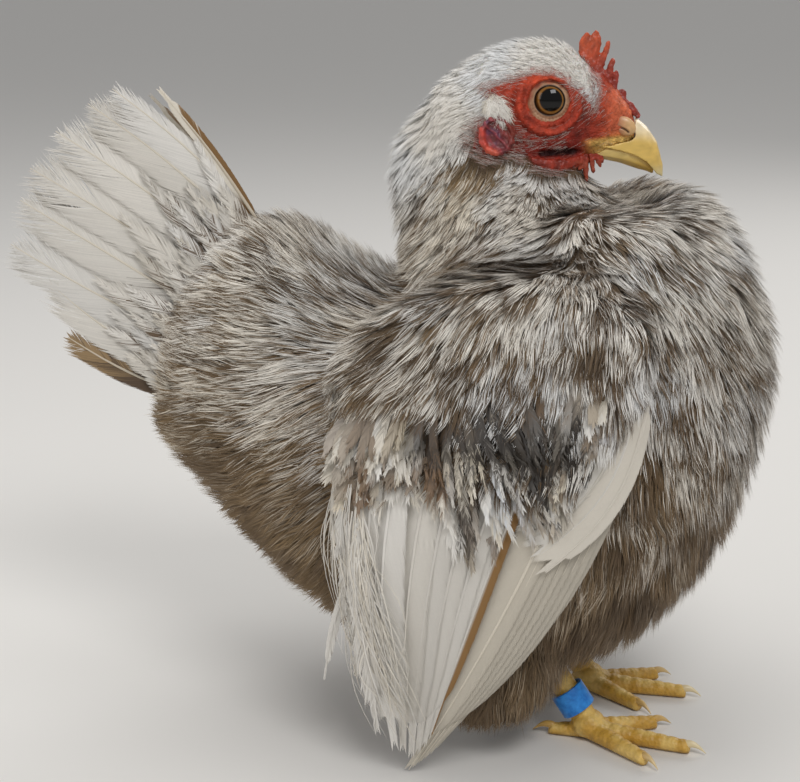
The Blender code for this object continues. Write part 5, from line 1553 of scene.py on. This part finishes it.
def makeComb():
    mesh = nodeCopy("comb", 0.32, 5)
    spots, normals = toOwn(spotsOf(mesh)), normalsOf(mesh)
    moved = spots + normals * (0.14 * cloud(spots, 1.4, 5) + 0.10 * cloud(spots, 0.7, 6))[:, None]
    # the front sinks into the forehead, the points stand a little closer
    local = toHead(moved)
    local[:, 0] -= 1.3 * ease(local[:, 0], 13, 23) + 0.6 * ease(local[:, 2], 16, 24)
    local[:, 2] += 1.5 * ease(-local[:, 2], -2, 4) * ease(local[:, 0], 20, 24)
    local[:, 0] += 0.30 * np.maximum(0, 13.6 - local[:, 0]) * ease(local[:, 2], 3, 9)
    over = (1.08 * (local[:, 0] - 8.7) + local[:, 2] - 15.5) / 1.47  # height over the comb's foot
    sink = 0.4 + 1.4 * ease(-local[:, 0], -16, -11)
    local[:, (0, 2)] -= (sink * (1 - ease(over, -0.5, 3.5)))[:, None] * (0.73, 0.68)
    moved = fromHead(local)
    local = toHead(spots)
    high = ease(local[:, 2], 4, 18)
    tone = blend(linear("#8f3026"), linear("#b9583a"), high)
    tone = tone * (0.98, 0.78, 0.55)
    tone *= (1 + 0.20 * cloud(spots, 1.6, 8) + 0.10 * cloud(spots, 0.7, 18))[:, None]
    placeSpots(mesh, toRow(moved))
    setTint(mesh, tone)
    addPiece("comb", mesh, "wattleFlesh", ["comb"])


wattleFingers = [  # place of the root, length, slope and half width, in the head's mm
    (10.6, -15.2, 8.0, 0.08, 0.95), (12.2, -15.2, 5.6, 0.16, 0.85), (13.6, -15.2, 4.0, 0.35, 0.8),
    (9.6, -16.4, 3.4, -0.1, 0.9), (15.0, -15.6, 2.6, 0.3, 0.7),
]


def makeLobes():
    # Ear lobes with a bright rim round dark folds, their crests lighter with painted highlight, and wattles:
    # a lip under the crease, whose darkness is painted shadow on the face, and small tongues.
    for label, side in (("right", -1), ("left", 1)):
        mesh = nodeCopy(f"earlobe_{label}", 0.26, 4)
        spots, normals = toOwn(spotsOf(mesh)), normalsOf(mesh)
        local = toHead(spots)
        middle = local.mean(0)
        rx, rz = (local[:, 0] - middle[0]) / 5.8, (local[:, 2] - middle[2]) / 6.8
        rim = np.hypot(rx, rz)
        outer = ease(-0.85 * rx - 0.6 * rz, 0.25, 0.62) * ease(rim, 0.45, 0.8)
        front = ease(0.9 * rx + 0.55 * rz, -0.05, 0.8)
        slant = local[:, 0] * 0.75 + local[:, 2] * 0.66
        folds = np.sin(slant * 2.6 + cloud(spots, 2.5, 3)) * (1 - outer)
        moved = spots + normals * (0.30 * outer + 0.24 * folds + 0.14 * cloud(spots, 1.2, 5))[:, None]
        moved = toHead(moved)
        moved[:, 0] = middle[0] + 1.0 + (moved[:, 0] - middle[0]) * 0.88
        moved[:, 2] = middle[2] + 2.2 + (moved[:, 2] - middle[2]) * 0.84
        moved[:, 1] -= side * (1.2 * front + 0.9 * (1 - outer) * ease(rim, 0.9, 0.3))
        moved = fromHead(moved)
        tone = blend(linear("#6b3239"), linear("#5c2a4a"), ease(cloud(spots, 2.2, 8) - rx * 0.6, -0.2, 0.7))
        # painted highlight: the raised crests of the folds lighter
        tone = blend(tone, linear("#97404a"), ease(folds, 0.1, 1.0) * 0.7)
        tone = blend(tone, linear("#7d362d"), front)
        tone = blend(tone, linear("#b9473c"), outer)
        tone = blend(tone, linear("#cf6a55"), outer * ease(-rz, 0.35, 0.8) * 0.7)
        placeSpots(mesh, toRow(moved))
        setTint(mesh, tone * (1, 0.85, 0.75) * (1 + 0.18 * cloud(spots, 1.1, 8))[:, None])
        addPiece(f"earlobe{label.title()}", mesh, "wattleFlesh", [f"earlobe_{label}"])

        bm = bmesh.new()
        near = skinTree(side)
        rings = []
        for share in np.linspace(0, 1, 30):
            x, z = -4.2 + 15.2 * share, -16.2 - 1.6 * math.sin(math.pi * share)
            level = faceLevel(near, side, x, z)
            size = 0.25 + 1.45 * math.sin(math.pi * (0.04 + 0.92 * share)) ** 0.55
            angle = np.arange(16) * 2 * math.pi / 16
            rings.append(toRow(fromHead(np.column_stack([
                np.full(16, x), side * (level + 0.1 + np.cos(angle) * size * 0.75), z + np.sin(angle) * size
            ]))))
        loft(bm, rings)
        for x, z, long, turn, wide in wattleFingers:
            level = faceLevel(near, side, x, z)
            rings = []
            for share in np.linspace(0, 1, 12):
                size = wide * (1 - 0.45 * share**2) * (0.4 if share == 1 else 1)
                out = side * (level + 0.2 - 0.15 * share)
                middle = np.array([x + turn * long * share, out, z - long * share])
                angle = np.arange(10) * 2 * math.pi / 10
                rings.append(toRow(fromHead(middle + np.column_stack([
                    np.cos(angle) * size, np.sin(angle) * size * 0.8, 0 * angle
                ]))))
            loft(bm, rings)
        mesh = remeshed(meshOf(bm), 0.24, 4)
        spots, normals = toOwn(spotsOf(mesh)), normalsOf(mesh)
        local = toHead(spots)
        moved = spots + normals * (0.12 * cloud(spots, 1.0, 15) + 0.07 * cloud(spots, 0.5, 16))[:, None]
        tone = blend(linear("#9a3626"), linear("#7c2a1e"), ease(cloud(spots, 2.0, 4), -0.4, 0.5))
        tone = blend(tone, linear("#a35240"), ease(local[:, 0], 7, 9) * ease(-local[:, 2], 16, 18) * 0.8)
        tone = tone * (1.0, 0.8, 0.6)
        placeSpots(mesh, toRow(moved))
        setTint(mesh, tone * (1 + 0.15 * cloud(spots, 1.3, 8))[:, None])
        addPiece(f"wattle{label.title()}", mesh, "wattleFlesh", [f"wattle_{label}"])


def skinTree(side):  # the skin of one cheek, seen from its side
    local = toHead(toOwn(spotsOf(skinMesh)))
    level = (local[:, 2] > -26) & (local[:, 2] < 12)
    near = local[(np.abs(local[:, 0]) < 30) & level & (local[:, 1] * side > 1)]
    return sideTree(near), near


def faceLevel(near, side, x, z):  # how far out the skin is at a place on the cheek
    tree, spots = near
    return float(np.mean([spots[k][1] * side for _, k, _ in tree.find_n((x, 0, z), 4)]))


def makeBill():
    for name in ("bill_upper", "bill_lower"):
        mesh = nodeCopy(name, 0.27, 3)
        spots, normals = toOwn(spotsOf(mesh)), normalsOf(mesh)
        local = toHead(spots)
        x, z = local[:, 0], local[:, 2]
        streak = cloud(np.column_stack([x * 0.22, local[:, 1], z]), 0.8, 21)
        if name == "bill_upper":
            # pale along the ridge, golden at the edge, translucent and greyer at the tip
            ridge = -6.0 - 0.030 * np.maximum(0, x - 24) ** 2
            tone = blend(linear("#f0ddb8"), linear("#dcb862"), ease(ridge - z, 1.5, 6.5))
            tone = blend(tone, linear("#cfc398"), ease(-z, 17.5, 22) * 0.8)
        else:
            tone = blend(linear("#e8cb80"), linear("#d0a850"), ease(-z, 15, 20))
        fromSkin = blend(linear("#b8705a"), linear("#cfa678"), ease(x, 12, 19))
        low = ease(-11 - z, -2.5, 0.5)  # the horn reaches further back along its lower edge
        tone = blend(fromSkin, tone, ease(x + 7 * low, 16, 23.5))
        if name == "bill_lower":  # held closely under the upper bill
            spots = spots + normals * (0.22 * ease(x, 14, 20))[:, None]
            spots[:, 2] += 0.45 * ease(x, 15, 22)
        placeSpots(mesh, toRow(spots + normals * (0.04 * cloud(spots, 1.5, 5) + 0.015 * streak)[:, None]))
        setTint(mesh, tone * (1 + 0.06 * cloud(spots, 2.5, 8) + 0.05 * streak)[:, None])
        label = "billUpper" if name == "bill_upper" else "billLower"
        addPiece(label, mesh, "horn", [name])


nostril = {"place": (21.6, -7.4), "half": (3.4, 1.1, 2.5), "turn": math.radians(28)}  # in the head's mm


def makeNostrils():
    # The horny flap over each nostril, with the slit below it, pressed in and painted near black as the
    # shadow inside it.
    bm = bmesh.new()
    placeX, placeZ = nostril["place"]
    turn = Matrix.Rotation(nostril["turn"], 4, "Y")
    bill = toHead(toOwn(spotsOf(bpy.data.objects["billUpper"].data)))
    skin = toHead(toOwn(spotsOf(skinMesh)))
    both = np.concatenate([bill, skin[skin[:, 0] > 12]])
    for side in (-1, 1):
        away = np.hypot(both[:, 0] - placeX, both[:, 2] - placeZ)
        near = both[(away < 1.6) & (both[:, 1] * side > 0)]
        level = np.quantile(near[:, 1] * side, 0.7)
        place = Matrix.Translation((placeX * mm, side * (level + 0.05) * mm, placeZ * mm)) @ turn
        shape = Matrix.Diagonal((*[half * mm for half in nostril["half"]], 1))
        bmesh.ops.create_uvsphere(bm, u_segments=56, v_segments=40, radius=1, matrix=place @ shape)
    mesh = meshOf(bm)
    local = spotsOf(mesh) / mm
    c, w = math.cos(nostril["turn"]), math.sin(nostril["turn"])
    dx, dz = local[:, 0] - placeX, local[:, 2] - placeZ
    a, b = c * dx - w * dz, w * dx + c * dz
    slit = np.exp(-((b + 0.75 + 0.10 * (a - 0.3) ** 2) / 0.26) ** 2) * (1 - ease(np.abs(a - 0.2), 1.5, 2.1))
    local[:, 1] -= np.sign(local[:, 1]) * 0.7 * slit
    placeSpots(mesh, toRow(fromHead(local)))
    tone = blend(linear("#b9805c"), linear("#cfa673"), ease(dx, -2, 2))
    tone = blend(tone, linear("#a5503a"), ease(-dx, 0.8, 2.8))
    # painted shadow: the slit near black
    tone = blend(tone, linear("#3a1510"), slit * 0.95)
    setTint(mesh, tone * (1 + 0.08 * cloud(local, 0.8, 3))[:, None])
    addPiece("nostrilFlaps", mesh, "horn")


def hairs(base, lie, length, wide, lift, tones):
    # Single tapered filaments on the skin, all in own mm.
    normals = onSkin.normalsAt(base)
    lie = unit(lie - normals * (lie * normals).sum(1, keepdims=True))
    t = np.linspace(0, 1, 4)[None, :, None]
    rise = 0.05 + np.asarray(lift)[:, None, None] * t**1.4
    lines = base[:, None] + lie[:, None] * length[:, None, None] * t + normals[:, None] * rise
    ups = np.repeat(normals[:, None], 4, 1)
    across = np.repeat(np.cross(normals, lie)[:, None], 4, 1)
    one = np.ones(len(base))
    points, faces, q = strips(
        (lines, ups, across, length), np.arange(len(base)), 0 * one, one, length, 0.02 * one, one,
        wide * one, 0 * one, 0 * one, 3,
    )
    tint = np.broadcast_to(tones[:, None], (len(base), len(q), 3))
    uv = boxUnwrap(base, normals)[:, None] + np.stack([0 * q, (q - 0.5) * 0.003], -1)[None]
    plumes = Plumes()
    plumes.add(points, faces, tint, uv)
    return plumes.mesh()


earTuft = {"place": (-13.7, -2.0), "half": (2.9, 3.7), "slant": 0.3}  # x and z in the head's mm


def makeFaceHairs():
    # White filaments that sweep back over the cheek, thin ones round the face, and the ear tuft.
    spots = formSpots[formFaces].mean(1)
    local = toHead(spots)
    away = np.hypot(local[:, 0], local[:, 2])
    edge = insideBy(local[:, (0, 2)], faceEdge)
    whole = [edge > -2.0, spots[:, 2] > 160, np.abs(local[:, 1]) > 4, away > 7.4, local[:, 0] < 19]
    onFace = np.logical_and.reduce(whole)
    cheek = ease(-local[:, 2], 5.5, 8.5) * ease(9 - local[:, 0], 0, 5) * ease(away, 9.2, 10.4)
    crease = (np.abs(local[:, 2] + 15.6) < 3.0) & (local[:, 0] > -5.0) & (local[:, 0] < 17)
    border = np.exp(-((edge - 0.4) / 1.2) ** 2) * (local[:, 2] > -9)
    weight = onFace * (0.9 * cheek * ~crease + 1.3 * border + 0.05)
    count = 4600
    chosen = draw.choice(len(spots), count, p=weight / weight.sum())
    base = spots[chosen] + draw.normal(0, 0.35, (count, 3))
    x, _, z = toHead(base).T
    swirl = unit(np.column_stack([z, 0 * x, -x])) * (z < 3)[:, None]
    lie = swirl * 0.5 + np.array([-0.85, 0, -0.08]) + draw.normal(0, 0.16, (count, 3))
    lie = unit(lie) @ headAxes()
    tones = blend(shade["white"], linear("#b5705c"), draw.random(count)) * draw.uniform(0.4, 0.85, (count, 1))
    mesh = hairs(base, lie, draw.uniform(1.4, 3.8, count), 0.062, draw.uniform(0.1, 0.8, count), tones)
    addPiece("faceHairs", mesh, "plumage")

    high = local[:, 2] - earTuft["place"][1]
    tuft = (local[:, 0] - earTuft["place"][0] + earTuft["slant"] * high, high)
    oval01 = (tuft[0] / earTuft["half"][0]) ** 2 + (tuft[1] / earTuft["half"][1]) ** 2
    inside = np.nonzero((oval01 < 1.5) & (np.abs(local[:, 1]) > 6))[0]
    count = 3200
    weight = 1.02 - ease(oval01[inside], 0.45, 1.5)
    chosen = draw.choice(inside, count, p=weight / weight.sum())
    base = spots[chosen] + draw.normal(0, 0.3, (count, 3))
    spray = np.column_stack([tuft[0][chosen], 0 * chosen, tuft[1][chosen]]) * 0.13
    lie = unit(np.array([0.25, 0, -0.9]) + spray + draw.normal(0, 0.30, (count, 3))) @ headAxes()
    tones = blend(shade["white"] * 1.12, shade["cream"] * 0.8, ease(oval01[chosen], 0.5, 1.5))
    tones *= draw.uniform(0.85, 1.06, (count, 1))
    long = draw.uniform(1.4, 2.8, count)
    lift = draw.uniform(0.3, 1.0, count) * (0.7 + 1.8 * np.clip(1 - oval01[chosen], 0, 1))
    addPiece("earTufts", hairs(base, lie, long, 0.10, lift, tones), "plumage")


makeEyes()
makeLids()
makeComb()
makeLobes()
makeBill()
makeNostrils()
makeFaceHairs()
print("head")

# Legs
leg = {
    "foot": (41.5, 16.5),
    "stagger": 7.0,
    "ankle": 5.0,
    "lean": math.radians(35),
    "shank": 24.0,
    "shankRadius": 3.5,
    "bandUp": 8.5,  # middle of the leg band above the ankle, along the shank
    "toes": {"middle": (31, 4, 9), "outer": (24, 34, 7), "inner": (22, -32, 7), "hind": (12, 184, 4)},
    "toeRadius": 3.0,
    "claw": (6.8, 1.4),
}


def makeLegs():
    for label, side in (("right", -1), ("left", 1)):
        centre = np.array([leg["foot"][0] - (leg["stagger"] if side > 0 else 0), side * leg["foot"][1], 0.0])
        bm = bmesh.new()
        pad = Matrix.Translation(Vector(toRow(centre + (0, 0, 4.6))))
        pad = pad @ Matrix.Diagonal((5.2 * mm, 5.0 * mm, 4.4 * mm, 1))
        bmesh.ops.create_uvsphere(bm, u_segments=24, v_segments=16, radius=1, matrix=pad)
        claws = bmesh.new()
        for toe, (length, turn, scutes) in leg["toes"].items():
            heading = math.radians(turn * (side if abs(turn) < 90 else 1))
            way = np.array([math.cos(heading), math.sin(heading), 0])
            out = np.array([-way[1], way[0], 0])
            radius = leg["toeRadius"] * (0.85 if toe == "hind" else 1)
            rings = []
            for k in range(scutes * 4 + 1):
                share = k / (scutes * 4)
                ripple = 1 + 0.07 * abs(math.sin(math.pi * share * scutes)) ** 0.5
                size = radius * (1 - 0.36 * share**1.2) * ripple * (0.6 if k == scutes * 4 else 1)
                middle = centre + way * length * share
                angle = np.arange(20) * 2 * math.pi / 20
                high = size * (1 + np.sin(angle))
                ring = middle + out * (np.cos(angle) * size)[:, None]
                ring[:, 2] += np.maximum(0.1, high * 0.96)
                rings.append(toRow(ring))
            loft(bm, rings)
            root = centre + way * (length - 2.0) + (0, 0, 2.4)
            rings = []
            for share in np.linspace(0, 1, 10):
                middle = root + way * leg["claw"][0] * share
                middle[2] -= 1.6 * share**2 - 1.0 * math.sin(math.pi * share)
                size = leg["claw"][1] * (1 - 0.90 * share**1.4)
                size = min(size, middle[2] * 0.95)
                angle = np.arange(14) * 2 * math.pi / 14
                ring = middle + out * (np.cos(angle) * size * 0.8)[:, None]
                ring[:, 2] += np.sin(angle) * size
                rings.append(toRow(ring))
            loft(claws, rings)
        mesh = remeshed(meshOf(bm), 0.42, 2)
        finishLeg(mesh, f"foot{label.title()}", f"foot_{label}")
        clawMesh = meshOf(claws)
        spots = toOwn(spotsOf(clawMesh))
        far = np.linalg.norm(spots - centre, axis=1)
        setTint(clawMesh, blend(linear("#c9a055"), linear("#e0cfa6"), ease(far, 20, 34)))
        addPiece(f"claws{label.title()}", clawMesh, "horn")
        bm = bmesh.new()
        ankle = centre + (0, 0, leg["ankle"])
        up = np.array([-math.sin(leg["lean"]), 0, math.cos(leg["lean"])])
        ahead = np.array([math.cos(leg["lean"]), 0, math.sin(leg["lean"])])
        rings = []
        for k in range(45):
            share = k / 44
            ripple = 1 + 0.035 * abs(math.sin(math.pi * share * 9)) ** 0.5
            size = leg["shankRadius"] * ripple
            middle = ankle + up * leg["shank"] * share
            angle = np.arange(24) * 2 * math.pi / 24
            ring = middle + ahead * (np.cos(angle) * size * 1.05)[:, None]
            ring[:, 1] += np.sin(angle) * size * 0.92
            rings.append(toRow(ring))
        loft(bm, rings)
        finishLeg(meshOf(bm), f"shank{label.title()}", f"shank_{label}")


def finishLeg(mesh, name, node):
    spots = toOwn(spotsOf(mesh))
    tone = blend(linear("#c79a3f"), linear("#dcb867"), ease(cloud(spots, 5, 4), -0.5, 0.6))
    tone = blend(tone, linear("#8f6a2c"), 0.5 * (1 - ease(spots[:, 2], 0.2, 1.6)))
    setTint(mesh, tone * (1 + 0.08 * cloud(spots, 1.2, 14))[:, None])
    addPiece(name, mesh, "legScale", [node])


def makeBand():
    # A flat ring of plastic with rounded edges, on the right shank.
    bm = bmesh.new()
    inner, wall, half, soft = 4.05, 1.2, 3.7, 0.35
    profile = []
    for x, z in ((inner, -half), (inner + wall, -half), (inner + wall, half), (inner, half)):
        profile.append(bm.verts.new((x * mm, 0, z * mm)))
    edges = [bm.edges.new((a, b)) for a, b in zip(profile, profile[1:] + profile[:1])]
    bmesh.ops.spin(
        bm, geom=profile + edges, cent=(0, 0, 0), axis=(0, 0, 1), angle=2 * math.pi, steps=72, use_merge=True
    )
    bmesh.ops.remove_doubles(bm, verts=bm.verts, dist=0.001 * mm)
    bmesh.ops.recalc_face_normals(bm, faces=bm.faces)
    sharp = [e for e in bm.edges if len(e.link_faces) == 2 and e.calc_face_angle(0) > 1.0]
    bmesh.ops.bevel(
        bm, geom=sharp, offset=soft * mm, offset_type="OFFSET", segments=3, profile=0.5, material=-1,
        affect="EDGES",
    )
    place = Matrix.Translation(Vector(toRow((leg["foot"][0], -leg["foot"][1], leg["ankle"]))))
    turn = Matrix.Rotation(-leg["lean"], 4, "Y") @ Matrix.Translation((0, 0, leg["bandUp"] * mm))
    bm.transform(place @ turn)
    mesh = meshOf(bm)
    addPiece("legBand", mesh, "bandPlastic", ["leg_band"])


makeLegs()
makeBand()
print("legs")


# Stage
studio = {
    "floor": "#e4e1dc",
    "world": ("#f4f5f7", 0.42),
    # place, aim, width, height, power
    "key": ((0.55, -0.75, 1.05), (0.0, 0.0, 0.09), 0.55, 0.40, 6.6),
    "fill": ((-0.95, -0.70, 0.55), (0.0, 0.0, 0.09), 0.9, 0.7, 3.2),
    "top": ((-0.15, 0.15, 1.25), (0.0, 0.0, 0.09), 0.9, 0.9, 4.2),
    "rim": ((0.4, 0.95, 0.75), (0.0, 0.0, 0.12), 0.6, 0.5, 2.6),
    "camera": ((0.1571, -0.4643, 0.2294), (0.02402, 0.0, 0.100), 75.0, -0.0875),
}


def makeStage():
    bm = bmesh.new()
    bmesh.ops.create_grid(bm, x_segments=1, y_segments=1, size=25)
    floor = bpy.data.objects.new("floor", meshOf(bm))
    bpy.context.scene.collection.objects.link(floor)
    material, _, shader = newMaterial("floorPaint", {"Roughness": 0.8, "Specular IOR Level": 0.2})
    shader.inputs["Base Color"].default_value = colour(studio["floor"])
    floor.data.materials.append(material)
    world = bpy.data.worlds.new("studio")
    world.use_nodes = True
    world.node_tree.nodes["Background"].inputs["Color"].default_value = colour(studio["world"][0])
    world.node_tree.nodes["Background"].inputs["Strength"].default_value = studio["world"][1]
    bpy.context.scene.world = world
    for name in ("key", "fill", "top", "rim"):
        place, aim, wide, high, power = studio[name]
        lamp = bpy.data.lights.new(name, "AREA")
        lamp.shape, lamp.size, lamp.size_y, lamp.energy = "RECTANGLE", wide, high, power
        holder = bpy.data.objects.new(name, lamp)
        holder.location = place
        holder.rotation_euler = (Vector(aim) - Vector(place)).to_track_quat("-Z", "Y").to_euler()
        bpy.context.scene.collection.objects.link(holder)
    place, aim, lens, shift = studio["camera"]
    data = bpy.data.cameras.new("camera")
    data.lens, data.sensor_width, data.shift_x = lens, 36.0, shift
    data.clip_start, data.clip_end = 0.01, 80
    holder = bpy.data.objects.new("camera", data)
    holder.location = place
    holder.rotation_euler = (Vector(aim) - Vector(place)).to_track_quat("-Z", "Y").to_euler()
    bpy.context.scene.collection.objects.link(holder)
    bpy.context.scene.camera = holder
    bpy.context.scene.view_settings.view_transform = "Standard"


makeStage()
